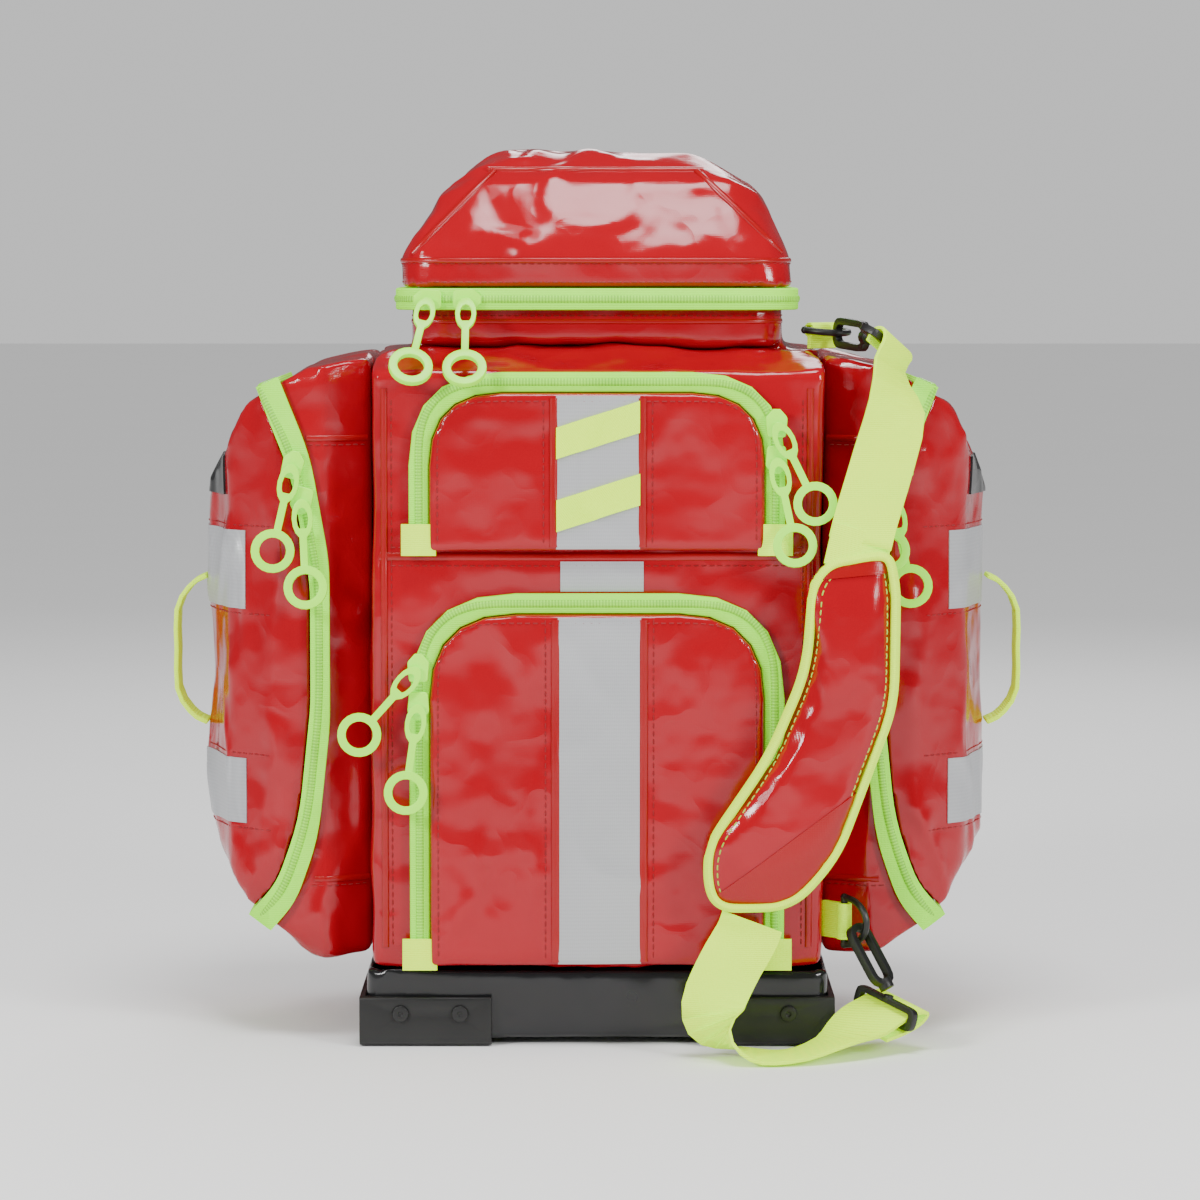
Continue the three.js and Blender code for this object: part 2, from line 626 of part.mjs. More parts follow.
// ---- carrying harness ---------------------------------------------------------------------------
function buildHarness() {
  const route = [
    { at: [50, 124.5, 404], across: [1, 0, 0.1], size: [58, 4] },
    { at: [56, 131, 382], across: [1, 0, 0.15], size: [60, 11] },
    { at: [72, 155, 330], across: [1, 0, 0.2], size: [62, 13] },
    { at: [86, 163.3, 260], across: [1, 0, 0.2], size: [62, 13] },
    { at: [102, 154, 190], across: [1, 0.1, 0.25], size: [60, 12] },
    { at: [118, 139, 138], across: [1, 0.1, 0.3], size: [44, 8] },
    { at: [126, 127, 116], across: [1, 0.1, 0.4], size: [25, 3] },
    { at: [141, 119.5, 86], across: [1, 0.1, 0.5], size: [25, 2.4] },
    { at: [150.2, 116, 68], across: [1, 0.1, 0.5], size: [25, 2.4] },
  ];
  for (const [side, x] of [["left", -1], ["right", 1]]) {
    const stations = route.map(({ at, across, size }) => ({
      at: [x * at[0], at[1], at[2]],
      across: x > 0 ? across : [across[0], -across[1], -across[2]],
      size,
    }));
    add(`${side}_shoulder_strap`, ribbon(stations, 30), MATERIAL.mesh);
    const frame = solid(deepened(rectangle(-17, 17, -14, 14, 4), -2.4, 2.4, 3));
    const windows = [[-10.4, -2.4], [1.6, 10.4]].map(([z0, z1]) => solid(box(-13, 13, -5, 5, z0, z1)));
    const buckle = windows.reduce((sum, window) => sum.subtract(window), frame);
    const mesh = add(`${side}_ladder_buckle`, buckle, MATERIAL.plastic);
    orient(mesh, [x * 159, 111.8, 49], [x * 0.45, -0.2, -0.87], [x * 0.1, 0.95, -0.2]);
  }
}

buildBody();
buildBase();
buildFrontPockets();
buildSidePockets();
buildHood();
buildSliders();
buildSling();
buildHarness();

export default bag;
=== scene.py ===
"""Looks of a trauma backpack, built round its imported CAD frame.

Glossy red tarpaulin panels, lime zips with ring pulls, reflective stripes, webbing and black
moulded hardware. Sizes are written in millimetres and become metres in the meshes.
"""

import json
import logging
import math
from dataclasses import dataclass, field
from enum import Enum
from typing import Callable, Iterable, Sequence

import bpy
import numpy as np
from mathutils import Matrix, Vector, noise
from mathutils.bvhtree import BVHTree

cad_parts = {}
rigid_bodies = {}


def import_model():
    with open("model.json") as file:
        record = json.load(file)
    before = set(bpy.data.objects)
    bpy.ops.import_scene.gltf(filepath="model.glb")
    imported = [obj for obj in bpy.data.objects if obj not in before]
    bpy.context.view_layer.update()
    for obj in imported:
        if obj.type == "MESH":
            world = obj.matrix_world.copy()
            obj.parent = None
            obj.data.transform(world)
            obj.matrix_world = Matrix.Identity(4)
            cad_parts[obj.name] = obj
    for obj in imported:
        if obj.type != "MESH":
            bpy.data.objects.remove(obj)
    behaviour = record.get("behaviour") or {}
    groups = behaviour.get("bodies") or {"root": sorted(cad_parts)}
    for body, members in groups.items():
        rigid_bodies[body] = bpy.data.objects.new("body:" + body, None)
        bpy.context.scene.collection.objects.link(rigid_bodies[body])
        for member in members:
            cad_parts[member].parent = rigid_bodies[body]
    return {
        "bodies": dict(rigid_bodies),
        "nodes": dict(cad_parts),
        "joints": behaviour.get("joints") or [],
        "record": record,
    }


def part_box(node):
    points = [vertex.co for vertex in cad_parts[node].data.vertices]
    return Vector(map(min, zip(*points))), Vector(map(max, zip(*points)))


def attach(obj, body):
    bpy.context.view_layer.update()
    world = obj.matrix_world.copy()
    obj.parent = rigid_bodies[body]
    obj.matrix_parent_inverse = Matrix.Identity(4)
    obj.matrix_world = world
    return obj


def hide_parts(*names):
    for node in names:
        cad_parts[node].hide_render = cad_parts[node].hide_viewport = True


log = logging.getLogger("backpack")
MM = 0.001
Point = Sequence[float]


# ---- shaders ------------------------------------------------------------------------------------
class Value:
    """A number in a material's node tree, used in plain Python expressions."""

    def __init__(self, tree: bpy.types.NodeTree, socket: bpy.types.NodeSocket) -> None:
        """Wraps one output socket of a tree."""
        self.tree, self.socket = tree, socket

    def _math(self, operation: str, *others: "Value | float", swap: bool = False) -> "Value":
        """Adds a Math node.

        Args:
            operation: The node's operation.
            others: The other numbers or values.
            swap: Puts this value second.

        Returns:
            The node's result.
        """
        node = self.tree.nodes.new("ShaderNodeMath")
        node.operation = operation
        given = [self, *others]
        if swap:
            given.reverse()
        for socket, value in zip(node.inputs, given):
            if isinstance(value, Value):
                self.tree.links.new(value.socket, socket)
            else:
                socket.default_value = value
        return Value(self.tree, node.outputs[0])

    def __add__(self, other: "Value | float") -> "Value":
        """Sum."""
        return self._math("ADD", other)

    __radd__ = __add__

    def __sub__(self, other: "Value | float") -> "Value":
        """Difference."""
        return self._math("SUBTRACT", other)

    def __rsub__(self, other: float) -> "Value":
        """Difference from a number."""
        return self._math("SUBTRACT", other, swap=True)

    def __mul__(self, other: "Value | float") -> "Value":
        """Product."""
        return self._math("MULTIPLY", other)

    __rmul__ = __mul__

    def sine(self) -> "Value":
        """Sine of an angle in radians."""
        return self._math("SINE")

    def size(self) -> "Value":
        """Size without sign."""
        return self._math("ABSOLUTE")

    def highest(self, other: "Value") -> "Value":
        """The larger of two values."""
        return self._math("MAXIMUM", other)


class Shader:
    """One material and the few kinds of node that the finishes use."""

    def __init__(self, name: str) -> None:
        """Starts a material with an empty tree.

        Args:
            name: The material's name.
        """
        self.material = bpy.data.materials.new(name)
        self.material.use_nodes = True
        self.tree = self.material.node_tree
        self.tree.nodes.clear()
        place = self.node("ShaderNodeTexCoord")
        self.place = place.outputs["Object"]
        parts = self.node("ShaderNodeSeparateXYZ", inputs={"Vector": self.place})
        self.x, self.y, self.z = (Value(self.tree, out) for out in parts.outputs)

    def node(self, kind: str, settings: dict | None = None, inputs: dict | None = None) -> bpy.types.Node:
        """Adds a node.

        Args:
            kind: The node's type.
            settings: Attributes, set first.
            inputs: Values, sockets or Values by input name or number.

        Returns:
            The node.
        """
        node = self.tree.nodes.new(kind)
        for key, value in (settings or {}).items():
            setattr(node, key, value)
        for key, value in (inputs or {}).items():
            socket = node.inputs[key]
            if isinstance(value, Value):
                value = value.socket
            if isinstance(value, bpy.types.NodeSocket):
                self.tree.links.new(value, socket)
            else:
                socket.default_value = value
        return node

    def chart(self) -> tuple[Value, Value]:
        """The piece's own map: how far along it and how far across, in metres."""
        place = self.node("ShaderNodeUVMap", {"uv_map": "run"})
        parts = self.node("ShaderNodeSeparateXYZ", inputs={"Vector": place.outputs[0]})
        return Value(self.tree, parts.outputs[0]), Value(self.tree, parts.outputs[1])

    def noise(self, scale: float, detail: float = 2, roughness: float = 0.5) -> Value:
        """Noise in object space, from 0 to 1.

        Args:
            scale: Features per metre.
            detail: Octaves.
            roughness: Strength of the finer octaves.

        Returns:
            The noise.
        """
        made = self.node(
            "ShaderNodeTexNoise",
            inputs={"Vector": self.place, "Scale": scale, "Detail": detail, "Roughness": roughness},
        )
        return Value(self.tree, made.outputs[0])

    def blend(self, share: Value, low: Point, high: Point) -> bpy.types.NodeSocket:
        """Mixes two colours by a value.

        Args:
            share: How much of the second.
            low: First colour.
            high: Second colour.

        Returns:
            The colour socket.
        """
        mix = self.node("ShaderNodeMix", {"data_type": "RGBA"})
        self.tree.links.new(share.socket, mix.inputs[0])
        mix.inputs[6].default_value = (*low, 1)
        mix.inputs[7].default_value = (*high, 1)
        return mix.outputs[2]

    def bump(
        self, height: Value, depth: float, strength: float = 1, under: bpy.types.NodeSocket | None = None
    ) -> bpy.types.NodeSocket:
        """Adds a Bump node.

        Args:
            height: Height from 0 to 1.
            depth: Height of 1 in metres.
            strength: Strength.
            under: The normal that this one adds to.

        Returns:
            The normal socket.
        """
        inputs = {"Height": height, "Distance": depth, "Strength": strength}
        if under is not None:
            inputs["Normal"] = under
        return self.node("ShaderNodeBump", inputs=inputs).outputs[0]

    def finish(self, **inputs: object) -> bpy.types.Material:
        """Adds the surface shader.

        Args:
            inputs: Its sockets, with _ for a space.

        Returns:
            The material.
        """
        named = {key.replace("_", " "): value for key, value in inputs.items()}
        surface = self.node("ShaderNodeBsdfPrincipled", inputs=named)
        out = self.node("ShaderNodeOutputMaterial")
        self.tree.links.new(surface.outputs[0], out.inputs[0])
        return self.material


class Weave(Enum):
    """Which way the ribs of a webbing or tape run, as a direction in object space."""

    ACROSS = (0.0, 0.0, 1.0)
    SLANTED = (0.8, 0.0, 0.6)
    MAPPED = (0.0, 0.0, 0.0)


@dataclass(frozen=True)
class Tarpaulin:
    """Glossy coated cloth whose weave shows through the coating."""

    name: str
    dark: tuple[float, float, float]
    light: tuple[float, float, float]
    roughness: float = 0.2
    weave: float = 0.00003
    creases: float = 0.0016

    def material(self) -> bpy.types.Material:
        """The finish as a material."""
        s = Shader(self.name)
        pitch = 2 * math.pi / 0.0021
        warp = ((s.x + s.z + s.y * 0.7) * pitch).sine()
        weft = ((s.x - s.z + s.y * 0.7) * pitch).sine()
        cloth = (warp * weft) * 0.5 + 0.5
        folds = s.noise(14, 2, 0.5)
        sharp = ((s.noise(22, 2, 0.5) - 0.5).size() * 6).highest(s.noise(30, 1) * 0.5)
        normal = s.bump(folds, self.creases * 9, 0.6)
        normal = s.bump(sharp, self.creases * -0.9, 0.5, normal)
        normal = s.bump(cloth, self.weave, 0.6, normal)
        tone = s.noise(7, 4, 0.6)
        return s.finish(
            Base_Color=s.blend(tone, self.dark, self.light),
            Roughness=s.noise(35, 3) * 0.12 + (self.roughness - 0.06),
            Normal=normal,
            Specular_IOR_Level=0.4,
            Coat_Weight=0.15,
            Coat_Roughness=0.04,
        )


@dataclass(frozen=True)
class Webbing:
    """Woven strap or zip tape with ribs across its run; its emission is a painted glow."""

    name: str
    dark: tuple[float, float, float]
    light: tuple[float, float, float]
    run: Weave = Weave.ACROSS
    pitch: float = 1.15
    roughness: float = 0.62
    # painted glow: emission strength that makes the lime cloth shine though it is no lamp
    painted_glow: float = 0.3

    def material(self) -> bpy.types.Material:
        """The finish as a material."""
        s = Shader(self.name)
        a, b, c = self.run.value
        along = s.x * a + s.y * b + s.z * c
        cross = s.x * c + s.y * 0.8 + s.z * -a
        if self.run is Weave.MAPPED:
            along, cross = s.chart()
        rib = (along * (2 * math.pi / (self.pitch * MM))).sine() * 0.5 + 0.5
        thread = (cross * (2 * math.pi / (2.1 * MM))).sine() * 0.5 + 0.5
        cloth = rib * 0.6 + (rib * thread) * 0.4
        # tone: half the weave height, which darkens the grooves as painted shade, and half random tone
        tone = cloth * 0.5 + s.noise(40, 3) * 0.5
        return s.finish(
            Base_Color=s.blend(tone, self.dark, self.light),
            Roughness=s.noise(300, 2) * 0.15 + self.roughness,
            Normal=s.bump(cloth, 0.00025, 0.8),
            # painted glow: the cloth's own colours given out as light
            Emission_Color=s.blend(tone, self.dark, self.light),
            Emission_Strength=self.painted_glow,
        )


@dataclass(frozen=True)
class Moulded:
    """Moulded plastic or rubber with a fine grain and rubbed patches, and a painted glow from its emission
    where one is set.
    """

    name: str
    dark: tuple[float, float, float]
    light: tuple[float, float, float]
    roughness: float = 0.45
    grain: float = 0.00008
    # painted glow: emission strength that makes the part shine though it is no lamp
    painted_glow: float = 0.0

    def material(self) -> bpy.types.Material:
        """The finish as a material."""
        s = Shader(self.name)
        rubbed = s.noise(25, 4, 0.6)
        return s.finish(
            Base_Color=s.blend(rubbed, self.dark, self.light),
            Roughness=s.noise(80, 3) * 0.16 + (self.roughness - 0.08),
            Normal=s.bump(s.noise(1500, 2), self.grain, 0.6),
            # painted glow: the part's own colours given out as light
            Emission_Color=s.blend(rubbed, self.dark, self.light),
            Emission_Strength=self.painted_glow,
        )


@dataclass(frozen=True)
class Reflective:
    """Silver retroreflective tape with its fine cell pattern."""

    name: str
    dark: tuple[float, float, float]
    light: tuple[float, float, float]

    def material(self) -> bpy.types.Material:
        """The finish as a material."""
        s = Shader(self.name)
        pitch = 2 * math.pi / 0.0026
        cells = ((s.x + s.z * 0.58 + s.y) * pitch).sine() * ((s.x - s.z * 0.58 + s.y) * pitch).sine()
        tone = s.noise(9, 3) * 0.6 + cells * 0.2 + 0.2
        return s.finish(
            Base_Color=s.blend(tone, self.dark, self.light),
            Roughness=s.noise(30, 3) * 0.15 + 0.3,
            Metallic=0.25,
            Normal=s.bump(s.noise(16, 3), 0.0022, 0.5, s.bump(cells, 0.00004, 0.4)),
        )


RED = Tarpaulin("red_tarpaulin", (0.27, 0.0, 0.005), (0.38, 0.0004, 0.009), 0.12)
RED_TRIM = Tarpaulin("red_binding", (0.24, 0.0, 0.002), (0.36, 0.001, 0.004), 0.22, 0.0001, 0.0004)
VINYL = Tarpaulin("black_vinyl", (0.006, 0.006, 0.007), (0.016, 0.016, 0.017), 0.2, 0.00001, 0.0012)
TAPE = Webbing("lime_zip_tape", (0.24, 0.78, 0.004), (0.34, 0.95, 0.015))
PULL = Moulded("lime_rubber", (0.28, 0.85, 0.005), (0.38, 1.0, 0.02), 0.36, 0.00008, 0.3)
STRAP = Webbing("lime_webbing_upright", (0.55, 0.95, 0.0), (0.7, 1.0, 0.0), Weave.ACROSS)
STRAP_MAPPED = Webbing("lime_webbing", (0.55, 0.95, 0.0), (0.7, 1.0, 0.0), Weave.MAPPED)
# the coil's dark colour shows mostly in the grooves between its ribs, as painted shade
COIL_MAPPED = Webbing("lime_zip_coil", (0.08, 0.34, 0.002), (0.36, 0.95, 0.02), Weave.MAPPED, 1.9, 0.4)
STRAP_SLANTED = Webbing("lime_webbing_slanted", (0.55, 0.95, 0.0), (0.7, 1.0, 0.0), Weave.SLANTED)
PLASTIC = Moulded("black_plastic", (0.004, 0.004, 0.004), (0.011, 0.011, 0.0105), 0.42)
TAPE_SILVER = Reflective("silver_tape", (0.33, 0.335, 0.35), (0.47, 0.475, 0.49))
THREAD = Moulded("red_thread", (0.2, 0.004, 0.008), (0.32, 0.008, 0.012), 0.6)
LIME_THREAD = Moulded("lime_thread", (0.28, 0.5, 0.04), (0.42, 0.66, 0.06), 0.6)
MESH = Webbing("black_spacer_mesh", (0.008, 0.008, 0.009), (0.04, 0.04, 0.043), Weave.SLANTED, 2.4, 0.8, 0.0)
Finish = Tarpaulin | Webbing | Moulded | Reflective
_made: dict[str, bpy.types.Material] = {}


def material_of(finish: Finish) -> bpy.types.Material:
    """The finish's material, made once."""
    if finish.name not in _made:
        _made[finish.name] = finish.material()
    return _made[finish.name]


# ---- shaping ------------------------------------------------------------------------------------
def only(*objects: bpy.types.Object) -> None:
    """Selects just these objects and makes the first one active."""
    bpy.ops.object.select_all(action="DESELECT")
    for one in objects:
        one.select_set(True)
    bpy.context.view_layer.objects.active = objects[0]


def edited(obj: bpy.types.Object, work: Callable[[], None]) -> None:
    """Runs operators on the whole of an object in edit mode."""
    only(obj)
    bpy.ops.object.mode_set(mode="EDIT")
    bpy.ops.mesh.select_all(action="SELECT")
    work()
    bpy.ops.object.mode_set(mode="OBJECT")


def modified(obj: bpy.types.Object, kind: str, **settings: object) -> None:
    """Adds a modifier and applies it.

    Args:
        obj: The piece.
        kind: The modifier's type.
        settings: Its settings.
    """
    mod = obj.modifiers.new(kind.lower(), kind)
    for key, value in settings.items():
        setattr(mod, key, value)
    only(obj)
    bpy.ops.object.modifier_apply(modifier=mod.name)


def softly(obj: bpy.types.Object, angle: float = 40) -> None:
    """Shades a piece smooth up to an edge angle in degrees."""
    only(obj)
    bpy.ops.object.shade_smooth_by_angle(angle=math.radians(angle))


def points_of(obj: bpy.types.Object) -> np.ndarray:
    """The vertices of a mesh as rows of x, y and z in metres."""
    flat = np.empty(len(obj.data.vertices) * 3)
    obj.data.vertices.foreach_get("co", flat)
    return flat.reshape(-1, 3)


def move_points(obj: bpy.types.Object, points: np.ndarray) -> None:
    """Puts the vertices of a mesh in new places."""
    obj.data.vertices.foreach_set("co", points.reshape(-1))
    obj.data.update()


def surface(*objects: bpy.types.Object) -> BVHTree:
    """A search tree over the faces of some meshes."""
    verts: list[Vector] = []
    faces: list[list[int]] = []
    for one in objects:
        start = len(verts)
        verts += [v.co.copy() for v in one.data.vertices]
        faces += [[start + i for i in p.vertices] for p in one.data.polygons]
    return BVHTree.FromPolygons(verts, faces)


def dress(obj: bpy.types.Object, finish: Finish) -> None:
    """Gives a piece one finish."""
    obj.data.materials.clear()
    obj.data.materials.append(material_of(finish))


def settle(obj: bpy.types.Object, body: str, finish: Finish, nodes: Iterable[str] = ()) -> None:
    """Finishes a piece: its finish, the body it rides on and the nodes it stands for.

    Args:
        obj: The piece.
        body: Body of the frame.
        finish: Its finish.
        nodes: Frame nodes that it replaces.
    """
    dress(obj, finish)
    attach(obj, body)
    nodes = list(nodes)
    if nodes:
        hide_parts(*nodes)
    log.info("%s: %d faces on %s", obj.name, len(obj.data.polygons), body)


SEED = 1  # noise vectors follow the clock until they are seeded
FLAT_TURN = math.radians(1)  # faces that turn less are joined
HARD_TURN = 35  # degrees past which the shading of moulded parts and webs breaks
CLOTH_TURN = 60  # the same for the cloth panels
SKIN = 5  # pads swell by no more than this, in millimetres


def linked(name: str, mesh: bpy.types.Mesh) -> bpy.types.Object:
    """Puts a mesh in the scene as a new object of that name."""
    obj = bpy.data.objects.new(name, mesh)
    bpy.context.scene.collection.objects.link(obj)
    return obj


class Bag:
    """The loaded frame, with the nodes that pieces are made from."""

    frame: dict = {}

    @classmethod
    def copy(cls, node: str, name: str) -> bpy.types.Object:
        """Copies a node with its own merged mesh.

        Args:
            node: The frame node.
            name: The new piece's name.

        Returns:
            The piece.
        """
        obj = linked(name, cls.frame["nodes"][node].data.copy())
        obj.data.name = name
        edited(obj, lambda: bpy.ops.mesh.remove_doubles(threshold=1e-5))
        return obj


def gridded(obj: bpy.types.Object, pitch: float) -> None:
    """Cuts a mesh into a grid of small faces along all three axes, its walls kept as they are.

    Args:
        obj: The piece.
        pitch: Face size in millimetres.
    """
    edited(obj, lambda: bpy.ops.mesh.dissolve_limited(angle_limit=math.radians(2)))
    corners = points_of(obj)
    low, high = corners.min(0), corners.max(0)

    def cut() -> None:
        """Cuts along each axis in turn."""
        for axis in range(3):
            steps = max(1, round((high[axis] - low[axis]) / (pitch * MM)))
            normal = [0.0, 0.0, 0.0]
            normal[axis] = 1.0
            for i in range(1, steps):
                place = [0.0, 0.0, 0.0]
                place[axis] = low[axis] + (high[axis] - low[axis]) * i / steps
                bpy.ops.mesh.select_all(action="SELECT")
                bpy.ops.mesh.bisect(plane_co=place, plane_no=normal)

    edited(obj, cut)


@dataclass(frozen=True)
class Folds:
    """How far a panel's cloth stands in and out, in millimetres.

    Attributes:
        broad: Height of the wide swells.
        crease: Height of the narrow creases.
        lie: Stretch of the creases along x, y and z.
        seed: Where in the noise the panel lies.
    """

    broad: float = 1.6
    crease: float = 1.2
    lie: tuple[float, float, float] = (1.0, 1.0, 0.55)
    seed: float = 0.0

    def height(self, p: Vector) -> float:
        """Height at a point, in metres."""
        shift = Vector((self.seed, self.seed * 0.7, -self.seed))
        swell = noise.noise(p * 9 + shift) + 0.5 * noise.noise(p * 19 + shift * 2)
        q = Vector(a * b for a, b in zip(p, self.lie))
        warp = noise.noise_vector(p * 14 + shift) * 0.012
        ridge = 1 - abs(noise.noise((q + warp) * 26 + shift * 3)) * 2.6
        ridge = max(0.0, ridge) ** 2 * (0.5 + noise.noise(p * 11 - shift))
        return (self.broad * swell + self.crease * ridge) * MM


def rumple(
    obj: bpy.types.Object,
    folds: Folds,
    centre: Point,
    reach: Point,
    quiet: Iterable[str] = (),
    margin: float = 16,
    rounds: int = 4,
) -> None:
    """Rounds a panel's edges and moves its cloth in and out, less so beside what holds it flat.

    Args:
        obj: The panel.
        folds: Size of the folds.
        centre: Point in millimetres that the cloth stands away from.
        reach: How much each axis counts in that direction.
        quiet: Frame nodes beside which the cloth stays flat.
        margin: Distance in millimetres over which it comes to rest.
        rounds: Rounds of smoothing, which round the edges.
    """
    crisp = points_of(obj)
    modified(obj, "SMOOTH", factor=0.5, iterations=rounds)
    points = points_of(obj)
    quiet_tree = surface(*(Bag.frame["nodes"][n] for n in quiet)) if quiet else None
    middle = Vector(centre) * MM
    for i, row in enumerate(points):
        p = Vector(crisp[i])
        out = Vector(((p - middle)[k] * reach[k] for k in range(3)))
        if out.length < 1e-6:
            continue
        share = 1.0
        if quiet_tree:
            near = quiet_tree.find_nearest(p, margin * 2 * MM)
            if near[3] is not None:
                share = min(1.0, max(0.0, (near[3] / MM - 2) / margin))
        points[i] = p.lerp(Vector(row), share) + out.normalized() * folds.height(p) * share
    move_points(obj, points)


def swell(obj: bpy.types.Object, voxel: float, cap: float, pressure: float = 4.0) -> None:
    """Blows a closed piece up as stuffed cloth.

    Args:
        obj: The piece.
        voxel: Remeshing size in millimetres.
        cap: The furthest that a point may move, in millimetres.
        pressure: Pressure inside.
    """
    modified(obj, "REMESH", mode="VOXEL", voxel_size=voxel * MM)
    modified(obj, "SMOOTH", factor=0.5, iterations=3)
    start = points_of(obj)
    cloth = obj.modifiers.new("cloth", "CLOTH")
    cloth.settings.use_pressure = True
    cloth.settings.uniform_pressure_force = pressure
    cloth.settings.effector_weights.gravity = 0
    scene = bpy.context.scene
    for frame in range(1, 21):
        scene.frame_set(frame)
    done = obj.evaluated_get(bpy.context.evaluated_depsgraph_get())
    moved = np.empty(len(done.data.vertices) * 3)
    done.data.vertices.foreach_get("co", moved)
    moved = moved.reshape(-1, 3)
    scene.frame_set(1)
    obj.modifiers.remove(cloth)
    step = moved - start
    length = np.linalg.norm(step, axis=1, keepdims=True) + 1e-12
    move_points(obj, start + step * np.minimum(1, cap * MM / length))
    modified(obj, "SUBSURF", levels=1, render_levels=1)


# ---- strips and stitches ------------------------------------------------------------------------
Spot = tuple[Vector, Vector]


def rounded(points: Sequence[Point], radius: float, closed: bool = False, pitch: float = 4) -> list[Vector]:
    """A polyline with round corners, in even steps.

    Args:
        points: Corners in millimetres, of two or three numbers.
        radius: Corner radius in millimetres.
        closed: Joins the ends.
        pitch: Step in millimetres.

    Returns:
        Points in millimetres.
    """
    corners = [Vector(p) for p in points]
    count = len(corners)
    line: list[Vector] = []
    for i, b in enumerate(corners):
        if not closed and i in (0, count - 1):
            line.append(b)
            continue
        a, c = corners[i - 1], corners[(i + 1) % count]
        before, after = (a - b), (c - b)
        reach = min(radius * 0.8, before.length * 0.45, after.length * 0.45)
        p, q = b + before.normalized() * reach, b + after.normalized() * reach
        for k in range(7):
            t = k / 6
            line.append(p * (1 - t) ** 2 + b * (2 * t * (1 - t)) + q * t * t)
    if closed:
        line.append(line[0].copy())
    steps = [0.0]
    for a, b in zip(line, line[1:]):
        steps.append(steps[-1] + (b - a).length)
    total = max(2, round(steps[-1] / pitch))
    even: list[Vector] = []
    k = 0
    for i in range(total + 1):
        want = steps[-1] * i / total
        while k < len(steps) - 2 and steps[k + 1] < want:
            k += 1
        span = steps[k + 1] - steps[k] or 1
        even.append(line[k].lerp(line[k + 1], (want - steps[k]) / span))
    return even[:-1] if closed else even


def laid(
    points: Iterable[Vector], tree: BVHTree, along: Point | Callable[[Vector], Point], start: float = 60
) -> list[Spot]:
    """Lays points on a surface by looking at it from outside.

    Args:
        points: Points in millimetres.
        tree: The surface.
        along: The direction looked in, or a function that gives it.
        start: How far outside the look starts, in millimetres.

    Returns:
        Places in metres with the surface's direction out, where it was met.
    """
    spots: list[Spot] = []
    for p in points:
        way = Vector(along(p) if callable(along) else along).normalized()
        hit, normal, _, _ = tree.ray_cast(p * MM - way * start * MM, way)
        if hit is not None:
            spots.append((hit, normal if normal.dot(way) < 0 else -normal))
    return spots


def even_out(spots: list[Spot], rounds: int = 2, closed: bool = False) -> list[Spot]:
    """Smooths the directions and heights of a laid line."""
    for _ in range(rounds):
        fresh = list(spots)
        for i in range(len(spots)):
            if not closed and i in (0, len(spots) - 1):
                continue
            a, b, c = spots[i - 1], spots[i], spots[(i + 1) % len(spots)]
            fresh[i] = ((a[0] + b[0] * 2 + c[0]) / 4, (a[1] + b[1] * 2 + c[1]).normalized())
        spots = fresh
    return spots


def strip(
    name: str, spots: list[Spot], profile: Sequence[tuple[float, float]], closed: bool = False
) -> bpy.types.Object:
    """A strip of cloth or rubber swept along a laid line, with its map in metres.

    Args:
        name: The piece's name.
        spots: Places and directions out.
        profile: Closed outline as (across, out) in millimetres.
        closed: Joins the ends.

    Returns:
        The strip.
    """
    n, m = len(spots), len(profile)
    verts: list[Vector] = []
    run = [0.0]
    for i, (p, out) in enumerate(spots):
        a = spots[(i - 1) % n][0] if closed or i else p
        b = spots[(i + 1) % n][0] if closed or i < n - 1 else p
        tangent = (b - a).normalized()
        side = tangent.cross(out).normalized()
        up = side.cross(tangent).normalized()
        verts += [p + side * u * MM + up * v * MM for u, v in profile]
        run.append(run[-1] + (spots[(i + 1) % n][0] - p).length)
    faces = []
    for i in range(n if closed else n - 1):
        j = (i + 1) % n
        for k in range(m):
            l = (k + 1) % m
            faces.append((i * m + k, i * m + l, j * m + l, j * m + k))
    if not closed:
        faces.append(tuple(range(m)))
        faces.append(tuple(range((n - 1) * m, n * m))[::-1])
    mesh = bpy.data.meshes.new(name)
    mesh.from_pydata(verts, [], faces)
    obj = linked(name, mesh)
    chart = mesh.uv_layers.new(name="run")
    for face, polygon in enumerate(mesh.polygons):
        ring = face // m
        for loop in polygon.loop_indices:
            vertex = mesh.loops[loop].vertex_index
            i, k = divmod(vertex, m)
            along = run[ring + 1] if i != ring and face < len(faces) - 2 * (not closed) else run[i]
            chart.data[loop].uv = (along, profile[k][0] * MM)
    edited(obj, lambda: bpy.ops.mesh.normals_make_consistent(inside=False))
    softly(obj, 50)
    return obj


def half_round(width: float, height: float, sides: int = 6, sunk: float = 0.4) -> list[tuple[float, float]]:
    """A low domed profile in millimetres."""
    dome = [
        (-math.cos(math.pi * i / sides) * width / 2, math.sin(math.pi * i / sides) * height)
        for i in range(sides + 1)
    ]
    return [(-width / 2, -sunk), *dome, (width / 2, -sunk)]


def flat_band(width: float, thick: float, sunk: float = 0.3) -> list[tuple[float, float]]:
    """A flat profile with eased edges in millimetres."""
    w, e = width / 2, min(thick * 0.6, 0.6)
    return [(-w, -sunk), (-w, thick - e), (-w + e, thick), (w - e, thick), (w, thick - e), (w, -sunk)]


